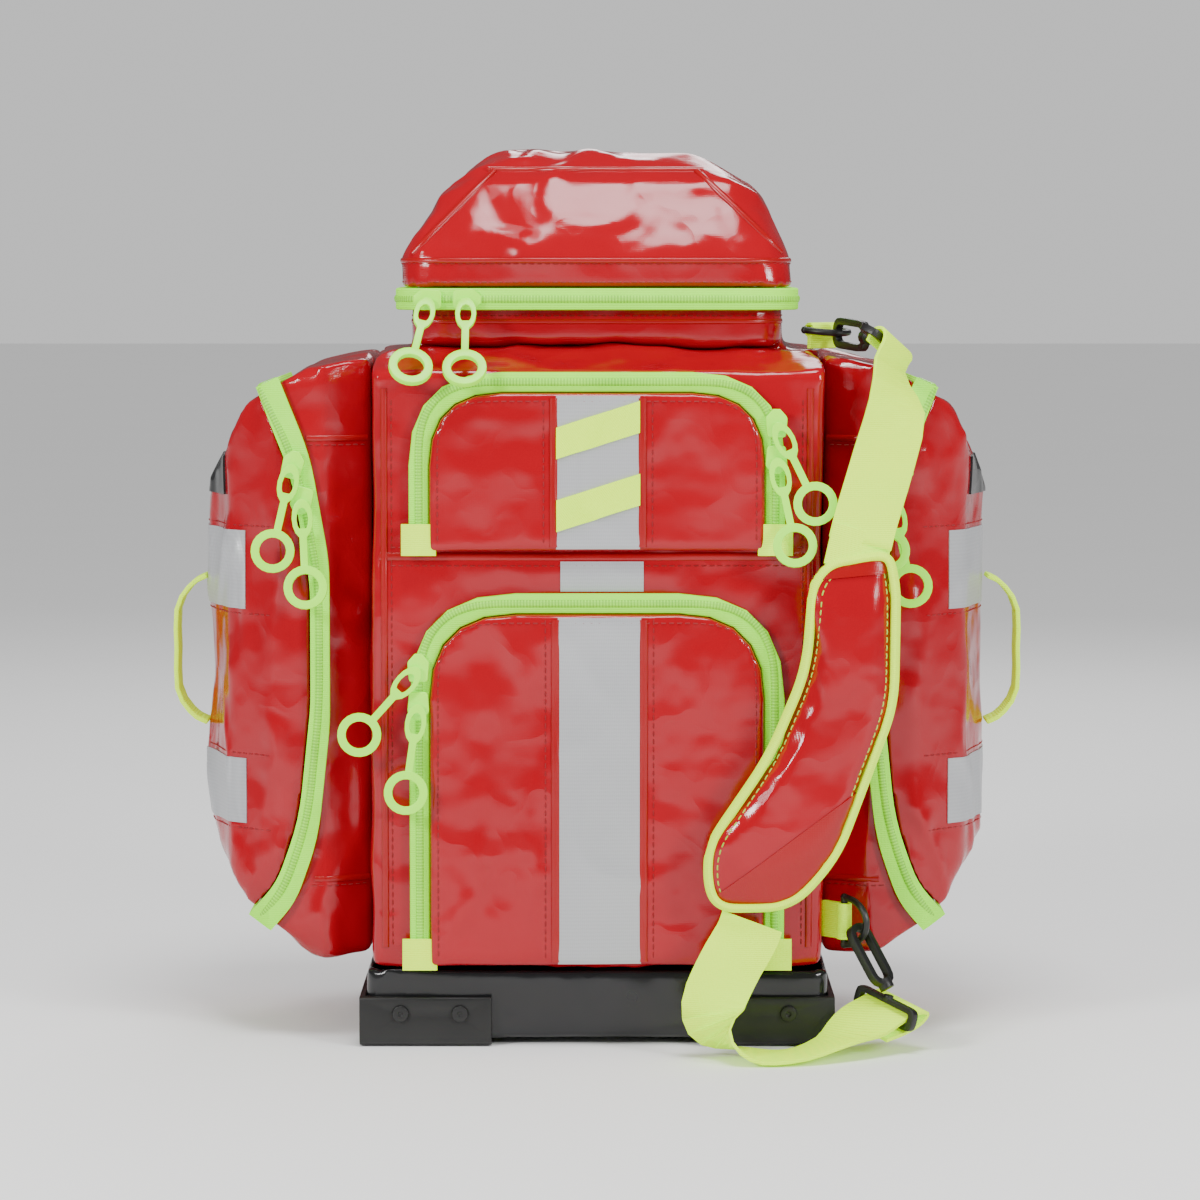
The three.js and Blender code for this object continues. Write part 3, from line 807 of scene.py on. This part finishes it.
def stitches(
    name: str, lines: Iterable[list[Spot]], length: float = 3.2, gap: float = 1.6
) -> bpy.types.Object:
    """Rows of sewn stitches, each a short thread that dips into the cloth at its ends.

    Args:
        name: The piece's name.
        lines: Laid lines that the rows follow.
        length: Stitch length in millimetres.
        gap: Space between stitches in millimetres.

    Returns:
        All the stitches as one mesh.
    """
    verts: list[Vector] = []
    faces: list[tuple[int, ...]] = []
    ring = [(-0.45, 0.0), (0.0, 0.55), (0.45, 0.0)]
    for spots in lines:
        want, reached = length, 0.0
        for (a, out), (b, _) in zip(spots, spots[1:]):
            span = (b - a).length / MM
            if span < 1e-6:
                continue
            tangent = (b - a).normalized()
            side = tangent.cross(out).normalized()
            while reached + span >= want:
                middle = a + tangent * (want - reached) * MM
                start = len(verts)
                for t, lift in ((-0.5, -0.1), (0, 0.25), (0.5, -0.1)):
                    base = middle + tangent * t * length * MM + out * lift * MM
                    verts += [base + side * u * MM + out * v * MM for u, v in ring]
                for r in (0, 3):
                    s = start + r
                    faces += [(s + u, s + v, s + v + 3, s + u + 3) for u, v in ((0, 1), (1, 2), (2, 0))]
                faces += [(start, start + 2, start + 1), (start + 6, start + 7, start + 8)]
                want += length + gap
            reached += span
    mesh = bpy.data.meshes.new(name)
    mesh.from_pydata(verts, [], faces)
    obj = linked(name, mesh)
    edited(obj, lambda: bpy.ops.mesh.normals_make_consistent(inside=False))
    return obj


def patch(
    source: bpy.types.Object, name: str, cuts: Sequence[tuple[Point, Point]], facing: Point, lift: float
) -> bpy.types.Object:
    """A sewn-on patch that follows the cloth under it.

    Args:
        source: The panel that it lies on.
        name: The patch's name.
        cuts: Planes as (point in millimetres, direction that is cut away).
        facing: Direction that the patch's faces look in.
        lift: Its thickness in millimetres.

    Returns:
        The patch.
    """
    obj = linked(name, source.data.copy())
    for place, normal in cuts:
        at, away = [c * MM for c in place], Vector(normal).normalized()
        edited(obj, lambda: bpy.ops.mesh.bisect(plane_co=at, plane_no=away, clear_outer=True))
    way = Vector(facing).normalized()
    only(obj)
    bpy.ops.object.mode_set(mode="EDIT")
    bpy.ops.mesh.select_all(action="DESELECT")
    bpy.ops.object.mode_set(mode="OBJECT")
    for face in obj.data.polygons:
        face.select = face.normal.dot(way) < 0.25
    bpy.ops.object.mode_set(mode="EDIT")
    bpy.ops.mesh.delete(type="FACE")
    bpy.ops.object.mode_set(mode="OBJECT")
    modified(obj, "SOLIDIFY", thickness=(lift + 0.4) * MM, offset=lift / (lift + 0.4) * 2 - 1)
    softly(obj, 50)
    return obj


def eased(
    node: str,
    suffix: str,
    body: str,
    finish: Finish,
    edge: float,
    segments: int = 2,
    angle: float = 32,
    flat: bool = True,
) -> None:
    """A moulded or webbing node with its edges eased.

    Args:
        node: The frame node that the piece stands for.
        suffix: Ending of the piece's name.
        body: Its body.
        finish: Its finish.
        edge: Bevel width in millimetres.
        segments: Bevel steps.
        angle: Sharpest turn left alone, in degrees.
        flat: Joins the faces of flat parts first.
    """
    obj = Bag.copy(node, f"{node}_{suffix}")
    if flat:
        edited(obj, lambda: bpy.ops.mesh.dissolve_limited(angle_limit=FLAT_TURN))
    limit = math.radians(angle)
    modified(obj, "BEVEL", width=edge * MM, segments=segments, limit_method="ANGLE", angle_limit=limit)
    modified(obj, "TRIANGULATE")
    softly(obj, HARD_TURN)
    settle(obj, body, finish, [node])


def hard(node: str, body: str, finish: Finish, edge: float, segments: int = 2) -> None:
    """A moulded node with its edges eased.

    Args:
        node: The frame node.
        body: Its body.
        finish: Its finish.
        edge: Bevel width in millimetres.
        segments: Bevel steps.
    """
    eased(node, "piece", body, finish, edge, segments)


def cloth_panel(
    node: str,
    suffix: str,
    body: str,
    finish: Finish,
    pitch: float,
    *rumpled: object,
    slot: str = "red_tarpaulin",
) -> bpy.types.Object:
    """A panel of the bag as cloth.

    Args:
        node: The frame node that the panel stands for.
        suffix: Ending of the panel's name.
        body: Its body.
        finish: Its finish.
        pitch: Size of its grid in millimetres.
        rumpled: What rumple is given after the panel.
        slot: Not used.

    Returns:
        The panel.
    """
    panel = Bag.copy(node, f"{node}_{suffix}")
    gridded(panel, pitch)
    rumple(panel, *rumpled)
    modified(panel, "SUBSURF", levels=1, render_levels=1)
    softly(panel, CLOTH_TURN)
    settle(panel, body, finish, [node])
    return panel


def seam(name: str, body: str, line: list[Spot], width: float, height: float) -> None:
    """Sews a rolled seam along a laid line.

    Args:
        name: The piece's name.
        body: Its body.
        line: The laid line; one of fewer than three spots is left out.
        width: Width in millimetres.
        height: Height in millimetres.
    """
    if len(line) > 2:
        settle(strip(name, line, half_round(width, height)), body, RED_TRIM)


def sewn(name: str, body: str, lines: list[list[Spot]]) -> None:
    """Sews rows of red stitches.

    Args:
        name: The piece's name.
        body: Its body.
        lines: The laid line of each row.
    """
    settle(stitches(name, lines), body, THREAD)


def stuffed(node: str, suffix: str, shrink: float, voxel: float) -> bpy.types.Object:
    """A pad that is made a little smaller and then blown up.

    Args:
        node: The frame node that the pad stands for.
        suffix: Ending of the pad's name.
        shrink: How much each face moves in first, in millimetres.
        voxel: Size of the remesh in millimetres.

    Returns:
        The pad.
    """
    pad = Bag.copy(node, f"{node}_{suffix}")
    modified(pad, "DISPLACE", strength=-shrink * MM, mid_level=0.0)
    swell(pad, voxel, SKIN)
    return pad


def tape_ring(half: float, front_y: float, back_y: float, z: float, radius: float) -> list[Vector]:
    """A level line round the bag's front and sides.

    Args:
        half: Half its width in millimetres.
        front_y: Its front in millimetres.
        back_y: Where its ends are in millimetres.
        z: Its height in millimetres.
        radius: Corner radius in millimetres.

    Returns:
        The line, in millimetres.
    """
    return rounded([(-half, back_y, z), (-half, front_y, z), (half, front_y, z), (half, back_y, z)], radius)


# ---- the bag ------------------------------------------------------------------------------------
ZIPS = ("hood_zip", "upper_zip", "lower_zip", "left_zip", "right_zip")
DOORS = ("left_door", "right_door")
HELD = (*ZIPS, "hood", "upper_flap", *DOORS, "back_pad", "upper_ring_tab", "lower_ring_tab")
INWARD = (0, 1, 0)
CORNER = 26  # radius of the level rings, in millimetres


def front(points: Sequence[Point], radius: float = 0, closed: bool = False) -> list[Vector]:
    """Points (x, z) in millimetres in front of the bag as a line with round corners."""
    return rounded([(x, -140, z) for x, z in points], radius, closed)


def coil(node: str, body: str, spots: list[Spot]) -> None:
    """Builds a zip: its tape with eased edges, and the coil down its middle.

    Args:
        node: The zip's frame node.
        body: The body that it rides on.
        spots: The laid middle line of the zip.
    """
    eased(node, "tape", body, TAPE, 1.1, angle=40)
    line = even_out(spots, 3)
    bead = strip(node + "_coil", line, half_round(4.6, 1.3, 5))
    settle(bead, body, COIL_MAPPED)


@dataclass
class Hood:
    """The top compartment, its rolled seams and the zip round its foot.

    Attributes:
        top: Half width and middle of the front panel's top seam, in millimetres.
        rim: Height of the band round the foot.
    """

    top: tuple[float, float] = (66.0, -5.0)
    rim: float = 476.0
    folds: Folds = field(default_factory=lambda: Folds(4.0, 5.0, (1.0, 1.0, 0.6), 3.1))

    def build(self) -> None:
        """Builds the shell, seams, stitches and zip."""
        held = ["hood_zip", "main_shell"]
        rumpled = (self.folds, (0, 15, 440), (1, 1, 1.2), held, 20, 60)
        shell = cloth_panel("hood", "shell", "hood", RED, 6, *rumpled)
        self.seams(surface(shell))
        self.zip()

    def seams(self, tree: BVHTree) -> None:
        """Sews the rolled seams and their stitch rows onto the shell."""
        half, middle = self.top
        rise = [(-112, 479), (middle - half + 8, 529)], [(112, 480), (middle + half, 529)]
        lines = [front(side) for side in rise]
        lines.append(front([(middle - half + 4, 530), (middle + half + 4, 530)]))
        for i, line in enumerate(lines):
            seam(f"hood_seam_{i + 1}", "hood", even_out(laid(line, tree, INWARD)), 4.2, 1.5)
        rings = [tape_ring(119, -67, 60, z, CORNER) for z in (self.rim - 1.5, 472.5, 461.5)]
        rows = [even_out(laid(ring, tree, round_about)) for ring in rings]
        seam("hood_rim_seam", "hood", rows[0], 3.4, 1.2)
        sewn("hood_stitches", "hood", rows[1:])

    def zip(self) -> None:
        """Builds the zip round the hood's foot."""
        ring = tape_ring(123, -72.5, 64, 451.2, 30)
        coil("hood_zip", "bag", laid(ring, surface(Bag.frame["nodes"]["hood_zip"]), round_about))


def round_about(p: Vector) -> Point:
    """The direction in which a point beside the bag looks at it."""
    side = 1 if p.x > 0 else -1
    if p.y > -38:
        return (-side, 0, 0)
    if abs(p.x) < 92:
        return (0, 1, 0)
    return (-side, 1, 0)


@dataclass
class Shell:
    """The main compartment with its collar, the module tub and the side tubs."""

    folds: Folds = field(default_factory=lambda: Folds(3.4, 4.6, (1.0, 1.0, 0.5), 7.7))

    def build(self) -> None:
        """Builds the fixed cloth of the bag."""
        for node, pitch, centre in (
            ("main_shell", 8, (0, 30, 240)),
            ("front_pocket_tub", 6, (0, 0, 240)),
            ("left_pocket_tub", 7, (-120, 40, 230)),
            ("right_pocket_tub", 7, (120, 40, 230)),
        ):
            rumpled = (self.folds, centre, (1, 1, 0.6), HELD, 14, 6)
            panel = cloth_panel(node, "cloth", "bag", RED, pitch, *rumpled)
            if node == "front_pocket_tub":
                self.module_seams(panel)
            elif node == "main_shell":
                self.collar(surface(panel))
            else:
                self.gusset(surface(panel), -1 if "left" in node else 1)

    def module_seams(self, panel: bpy.types.Object) -> None:
        """Sews the module's cross seam, its side seams and the stripe between the pockets."""
        tree = surface(panel)
        cross = even_out(laid(front([(-131, 297), (131, 297)]), tree, INWARD))
        seam("module_cross_seam", "bag", cross, 5, 0.9)
        lines = [cross_row(tree, z) for z in (291.5, 302.5)]
        for side in (-1, 1):
            edge = even_out(laid(front([(side * 128, 60), (side * 128, 398)]), tree, INWARD))
            seam(f"module_side_seam_{'left' if side < 0 else 'right'}", "bag", edge, 4.2, 1.5)
            lines.append(even_out(laid(front([(side * 123.6, 60), (side * 123.6, 392)]), tree, INWARD)))
        sewn("module_stitches", "bag", lines)
        cuts = [((-22, 0, 0), (-1, 0, 0)), ((28, 0, 0), (1, 0, 0))]
        cuts += [((0, 0, 276), (0, 0, -1)), ((0, 0, 294), (0, 0, 1))]
        stripe = patch(panel, "module_stripe", cuts, (0, -1, 0), 0.7)
        settle(stripe, "bag", TAPE_SILVER)

    def collar(self, tree: BVHTree) -> None:
        """Sews the two stitch rows round the collar."""
        rings = [tape_ring(113, -62, 60, z, CORNER) for z in (437.5, 441)]
        rows = [even_out(laid(ring, tree, round_about)) for ring in rings]
        sewn("collar_stitches", "bag", rows)
        seam("collar_seam", "bag", rows[0], 3.2, 0.8)

    def gusset(self, tree: BVHTree, side: int) -> None:
        """Sews the level seams of a side panel beside the module."""
        word = "left" if side < 0 else "right"
        lines = []
        for i, z in enumerate((367, 98)):
            line = front([(side * 140, z), (side * (172 if i else 176), z)])
            seam(f"{word}_gusset_seam_{i + 1}", "bag", even_out(laid(line, tree, INWARD)), 4, 1.3)
            lines.append(laid(front([(side * 140, z - 4), (side * 174, z - 4)]), tree, INWARD))
        sewn(f"{word}_gusset_stitches", "bag", lines)


def cross_row(tree: BVHTree, z: float) -> list[Spot]:
    """A level row of spots across the module at a height in millimetres."""
    return even_out(laid(front([(-126, z), (126, z)]), tree, INWARD))


@dataclass
class FrontPocket:
    """One front pocket: its flap, reflective stripe, bindings and zip.

    Attributes:
        node: The flap's frame node.
        zip_node: The zip's frame node.
        corner: Corner radius of the zip's arch, in millimetres.
        stripe: Left and right edge of the stripe.
        bars: Height of each slanted bar's left and right end.
    """

    node: str
    zip_node: str
    corner: float
    stripe: tuple[float, float]
    bars: tuple[tuple[float, float], ...] = ()
    folds: Folds = field(default_factory=lambda: Folds(2.2, 2.2, (1.0, 1.0, 0.7), 1.3))

    def build(self) -> None:
        """Builds the flap, its dressing and the zip."""
        rumpled = (self.folds, (0, 400, 200), (0.02, 1, 0.02), [self.zip_node], 14)
        flap = cloth_panel(self.node, "cloth", self.node, RED, 5, *rumpled)
        self.dress_flap(flap)
        low, high = (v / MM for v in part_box(self.zip_node))
        half, top, foot = high.x - 6, high.z - 6, low.z + 1
        arch = front([(-half, foot), (-half, top), (half, top), (half, foot)], self.corner)
        tape = surface(Bag.frame["nodes"][self.zip_node])
        coil(self.zip_node, "bag", laid(arch, tape, INWARD))
        for side in (-1, 1):
            ends = [(side * half, -105.2 - 0.3 * k, foot + z) for k, z in enumerate((16, 6, -3))]
            spots = [(Vector(p) * MM, Vector((0, -1, 0))) for p in rounded(ends, 0, pitch=3)]
            tab = strip(f"{self.node}_{'left' if side < 0 else 'right'}_tab", spots, flat_band(21, 1.6, 0.6))
            settle(tab, "bag", STRAP_MAPPED)

    def dress_flap(self, flap: bpy.types.Object) -> None:
        """Sews the stripe, its bindings, the bars and the stitch rows onto the flap."""
        low, high = (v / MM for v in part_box(self.node))
        left, right = self.stripe
        ends = [((0, 0, low.z + 2), (0, 0, -1)), ((0, 0, high.z - 2), (0, 0, 1))]
        sides = [((left, 0, 0), (-1, 0, 0)), ((right, 0, 0), (1, 0, 0))]
        stripe = patch(flap, self.node + "_stripe", sides + ends, (0, -1, 0), 0.7)
        settle(stripe, self.node, TAPE_SILVER)
        tree = surface(flap)
        rows = []
        for i, x in enumerate((left - 1.5, right + 1.5)):
            line = even_out(laid(front([(x, low.z + 3), (x, high.z - 3)]), tree, INWARD))
            bind = strip(f"{self.node}_binding_{i + 1}", line, half_round(5.4, 1.4, 6, 0.2))
            settle(bind, self.node, RED_TRIM)
            away = -6 if i == 0 else 6
            row = front([(x + away, low.z + 4), (x + away, high.z - 4)])
            rows.append(even_out(laid(row, tree, INWARD)))
        r = self.corner - 14
        west, east, foot, top = low.x + 5, high.x - 5, low.z + 5, high.z - 5
        edge = front([(west, foot), (west, top), (east, top), (east, foot)], r)
        rows.append(even_out(laid(edge, tree, INWARD)))
        sewn(self.node + "_stitches", self.node, rows)
        for i, (a, b) in enumerate(self.bars):
            rise, run = b - a, right - left
            slant = [((left, 0, a - 9.5), (rise, 0, -run)), ((left, 0, a + 9.5), (-rise, 0, run))]
            bar = patch(flap, f"{self.node}_bar_{i + 1}", sides + slant, (0, -1, 0), 2.0)
            settle(bar, self.node, STRAP_SLANTED)


@dataclass
class SidePocket:
    """A side pocket: its rounded door, reflective stripes, name patch, handle and zip.

    Attributes:
        side: -1 on the left and 1 on the right.
        stripes: Lowest and highest height of each stripe, in millimetres.
        middle: Middle line of the zip in front, as (x, z).
        blank: Lowest and highest height of the plain patch.
    """

    side: int
    stripes: tuple[tuple[float, float], ...] = ((262.0, 310.0), (130.0, 170.0))
    middle: tuple[Point, ...] = (
        (201.2, 395.4), (180.5, 345), (168.7, 280), (168.7, 205), (176.2, 135), (190.5, 93), (204.9, 75.5)
    )
    blank: tuple[float, float] = (331.0, 355.0)
    folds: Folds = field(default_factory=lambda: Folds(2.6, 4.2, (1.0, 1.0, 0.5), 5.3))

    @property
    def word(self) -> str:
        """Left or right."""
        return "left" if self.side < 0 else "right"

    def build(self) -> None:
        """Builds the door, what is sewn on it and the zip."""
        name, body = f"{self.word}_door", f"{self.word}_door"
        held = [f"{self.word}_zip", f"{self.word}_pocket_tub"]
        rumpled = (self.folds, (self.side * 170, 30, 230), (1, 1, 0.3), held, 12, 12)
        door = cloth_panel(name, "cloth", body, RED, 6, *rumpled)
        out = (self.side, -0.6, 0)
        for i, (low, high) in enumerate(self.stripes):
            cuts = [((0, 0, low), (0, 0, -1)), ((0, 0, high), (0, 0, 1))]
            cuts += [((self.side * 215, 0, 0), (-self.side, 0, 0))]
            stripe = patch(door, f"{self.word}_stripe_{i + 1}", cuts, out, 0.7)
            settle(stripe, body, TAPE_SILVER)
        cuts = [((0, 0, self.blank[0]), (0, 0, -1)), ((0, 0, self.blank[1]), (0, 0, 1))]
        cuts += [((0, -34, 0), (0, -1, 0)), ((0, 12, 0), (0, 1, 0))]
        plain = patch(door, f"{self.word}_plain_patch", cuts, (self.side, 0, 0), 1.4)
        settle(plain, body, VINYL)
        eased(f"{self.word}_side_handle", "webbing", body, STRAP, 0.7, angle=35)
        self.zip()
        self.rows(door, body)

    def rows(self, door: bpy.types.Object, body: str) -> None:
        """Sews a stitch row beside each stripe."""
        tree = surface(door)
        lines = []
        for pair in self.stripes:
            for z in (pair[0] - 3, pair[1] + 3):
                plan = ((204, -72), (226, -46), (241, 8), (237, 80))
                ring = rounded([(self.side * x, y, z) for x, y in plan], 20)
                lines.append(even_out(laid(ring, tree, lambda p: (-self.side, 0.5, 0))))
        sewn(f"{self.word}_door_stitches", body, lines)

    def zip(self) -> None:
        """Builds the zip round the door's mouth."""
        top, foot = self.middle[0], self.middle[-1]
        runs = [(self.side * top[0], y, top[1]) for y in (38, -40, -66)]
        runs += [(self.side * x, -80, z) for x, z in self.middle[1:-1]]
        runs += [(self.side * foot[0], y, foot[1]) for y in (-66, -40, 38)]

        def look(p: Vector) -> Point:
            """Looks at the zip from outside."""
            if p.y < -72:
                return (0, 1, 0)
            if p.z > 300:
                return (-self.side * 0.5, 0.2 if p.y < -50 else 0, -0.87)
            return (-self.side * 0.58, 0.2 if p.y < -50 else 0, 0.81)

        node = f"{self.word}_zip"
        coil(node, "bag", laid(rounded(runs, 24), surface(Bag.frame["nodes"][node]), look))


@dataclass
class Sling:
    """The shoulder sling: its quilted pad with bound edge, end patches, webs and hook eyes.

    Attributes:
        outline: The pad's outline as (x, z) in millimetres.
        depth: Front of the pad, in millimetres.
    """

    outline: tuple[Point, ...] = (
        (126, 284), (138, 298), (176, 304), (181, 280), (180, 210), (146, 118),
        (118, 86), (66, 85), (62, 124), (100, 180), (122, 232),
    )
    depth: float = -132.0

    def build(self) -> None:
        """Builds the sling."""
        pad = stuffed("sling_pad", "cloth", 1.2, 4)
        softly(pad, 70)
        settle(pad, "sling", RED, ["sling_pad"])
        tree = surface(pad)
        self.binding(tree)
        self.patches(pad)
        for node in ("sling_upper_web", "sling_lower_web"):
            eased(node, "webbing", "sling", STRAP, 0.5, angle=50, flat=False)
        end = rounded([(158.6, -123.6, 314), (156.5, -125.6, 306.6), (152.8, -128.4, 291)], 6)
        spots = [(p * MM, Vector((0.1, -0.97, 0.2))) for p in end]
        under = strip("sling_upper_end", spots, flat_band(37, 1.1, 0.9))
        settle(under, "sling", STRAP_MAPPED)

    def binding(self, tree: BVHTree) -> None:
        """Sews the green binding round the pad's edge and its stitch row."""
        line = rounded([(x, self.depth + 5.5, z) for x, z in self.outline], 22, closed=True)
        centre = Vector((125, self.depth + 5.5, 200))
        spots = []
        for i, p in enumerate(line):
            tangent = (line[(i + 1) % len(line)] - line[i - 1]).normalized()
            out = tangent.cross(Vector((0, 1, 0)))
            if out.dot(p - centre) < 0 and out.dot(p - Vector((150, p.y, p.z))) < 0:
                out = -out
            spots.append((p * MM - out * 3.2 * MM, out))
        profile = [(-6.6, -3), (-6.9, 0.6), (-3.4, 3.4), (3.4, 3.4), (6.9, 0.6), (6.6, -3)]
        band = strip("sling_binding", spots, profile, True)
        modified(band, "SUBSURF", levels=1, render_levels=1)
        settle(band, "sling", STRAP_MAPPED)
        row = [p * MM - out * 8.2 * MM for p, (_, out) in zip(line, spots)]
        lines = laid([v / MM for v in row], tree, INWARD)
        settle(stitches("sling_stitches", [even_out(lines)]), "sling", LIME_THREAD)

    def patches(self, pad: bpy.types.Object) -> None:
        """Sews the end patches on which the webs are stitched down."""
        top = patch(pad, "sling_top_patch", [((0, 0, 272), (0.1, 0, -1))], (0, -1, 0), 1.1)
        settle(top, "sling", RED_TRIM)
        foot = patch(pad, "sling_foot_patch", [((100, 0, 118), (-0.6, 0, 0.8))], (0, -1, 0), 1.1)
        settle(foot, "sling", RED_TRIM)


@dataclass
class Carrier:
    """The back pad, the two shoulder straps and their ladder buckles."""

    def build(self) -> None:
        """Builds what lies against the wearer's back."""
        pad = stuffed("back_pad", "mesh", 1.5, 5)
        self.channels(pad)
        softly(pad, 70)
        settle(pad, "bag", MESH, ["back_pad"])
        for word in ("left", "right"):
            node = f"{word}_shoulder_strap"
            strap = Bag.copy(node, node + "_padded")
            gridded(strap, 9)
            limit = math.radians(45)
            modified(strap, "BEVEL", width=1.2 * MM, segments=2, limit_method="ANGLE", angle_limit=limit)
            modified(strap, "SMOOTH", factor=0.5, iterations=1)
            softly(strap, 70)
            settle(strap, "bag", MESH, [node])
            hard(f"{word}_ladder_buckle", "bag", PLASTIC, 0.7)

    def channels(self, pad: bpy.types.Object) -> None:
        """Presses sewn channels into the back pad."""
        points = points_of(pad)
        back = points[:, 1].max()
        for x in (-0.042, 0.042):
            near = np.exp(-(((points[:, 0] - x) / 0.004) ** 2))
            points[:, 1] -= np.where(points[:, 1] > back - 0.011, near * 0.004, 0)
        for z in (0.16, 0.24, 0.32):
            near = np.exp(-(((points[:, 2] - z) / 0.004) ** 2))
            points[:, 1] -= np.where(points[:, 1] > back - 0.011, near * 0.004, 0)
        move_points(pad, points)


@dataclass
class Base:
    """The black vinyl boot, its bound edge, the moulded feet and their screws."""

    folds: Folds = field(default_factory=lambda: Folds(0.9, 0.8, (1.0, 1.0, 0.6), 9.4))

    def build(self) -> None:
        """Builds the bottom of the bag."""
        rumpled = (self.folds, (0, 0, 60), (1, 1, 0.2), ["left_foot", "right_foot"], 8)
        cloth_panel("base_boot", "vinyl", "bag", VINYL, 6, *rumpled, slot="black_vinyl")
        for word in ("left", "right"):
            hard(f"{word}_foot", "bag", PLASTIC, 1.6, 3)
        for number in range(1, 5):
            hard(f"foot_screw_{number}", "bag", PLASTIC, 0.35)


SLIDERS = (
    "hood_left", "hood_right", "upper_high", "upper_low", "lower_high", "lower_low", "left_high", "left_low",
    "right_high", "right_low",
)


class Hardware:
    """The sliders with their ring pulls, and the sling's D rings, snap hooks, eyes and tabs."""

    def build(self) -> None:
        """Eases the edges of every moulded piece."""
        for name in SLIDERS:
            hard(f"{name}_slider", f"{name}_slider", PULL, 0.6)
            hard(f"{name}_pull", f"{name}_pull", PULL, 0.8, 3)
        for word in ("upper", "lower"):
            hard(f"{word}_d_ring", f"{word}_d_ring", PLASTIC, 0.5)
            hard(f"{word}_snap_hook", f"{word}_snap_hook", PLASTIC, 0.8)
            hard(f"{word}_hook_eye", "sling", PLASTIC, 0.8)
            hard(f"{word}_ring_tab", "bag", STRAP, 0.4)


class Studio:
    """Pale floor, soft lights and the camera in front."""

    def build(self) -> None:
        """Sets the studio up round the bag."""
        bpy.ops.object.select_all(action="DESELECT")
        bpy.ops.mesh.primitive_plane_add(size=1, location=(0, 0, -0.0006))
        floor = bpy.context.object
        floor.name = "floor"
        edited(floor, lambda: bpy.ops.transform.resize(value=(40, 40, 1)))
        s = Shader("pale_floor")
        tone = s.noise(3, 2)
        floor.data.materials.append(
            s.finish(Base_Color=s.blend(tone, (0.86, 0.86, 0.86), (0.88, 0.88, 0.88)), Roughness=0.85)
        )
        world = bpy.data.worlds.new("studio")
        bpy.context.scene.world = world
        world.use_nodes = True
        tree = world.node_tree
        back = tree.nodes["Background"]
        back.inputs[0].default_value = (1, 1, 1, 1)
        glossy = Value(tree, tree.nodes.new("ShaderNodeLightPath").outputs["Is Glossy Ray"])
        tree.links.new((0.72 - glossy * 0.58).socket, back.inputs[1])
        for name, place, size, power in (
            ("key_light", (-1.35, -1.5, 1.1), 0.45, 32),
            ("fill_light", (1.45, -1.4, 0.9), 0.45, 25),
            ("top_light", (0.1, -0.6, 2.0), 0.7, 24),
            ("back_light", (0.3, 2.0, 1.6), 1.0, 16),
        ):
            lamp = bpy.data.lights.new(name, "AREA")
            lamp.energy, lamp.size = power, size
            light = bpy.data.objects.new(name, lamp)
            light.location = place
            light.rotation_mode = "QUATERNION"
            light.rotation_quaternion = (Vector((0, 0, 0.27)) - Vector(place)).to_track_quat("-Z", "Y")
            bpy.context.scene.collection.objects.link(light)
        lens = bpy.data.cameras.new("camera")
        lens.lens, lens.sensor_width = 130, 36
        lens.clip_start, lens.clip_end = 0.05, 100
        camera = bpy.data.objects.new("camera", lens)
        camera.location = (0.0018, -2.698, 0.480)
        camera.rotation_euler = (math.radians(90 - 4.6), 0, 0)
        bpy.context.scene.collection.objects.link(camera)
        bpy.context.scene.camera = camera


def main() -> None:
    """Builds every sub-assembly."""
    logging.basicConfig(level=logging.INFO, format="%(message)s")
    Bag.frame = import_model()
    noise.seed_set(SEED)
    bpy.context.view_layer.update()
    Shell().build()
    Base().build()
    Hood().build()
    FrontPocket("upper_flap", "upper_zip", 50, (-24.5, 25.7), ((365.5, 381.5), (322.0, 338.0))).build()
    FrontPocket("lower_flap", "lower_zip", 58, (-23.5, 26.5)).build()
    for side in (-1, 1):
        SidePocket(side).build()
    Sling().build()
    Carrier().build()
    Hardware().build()
    Studio().build()


if __name__ == "__main__":
    main()
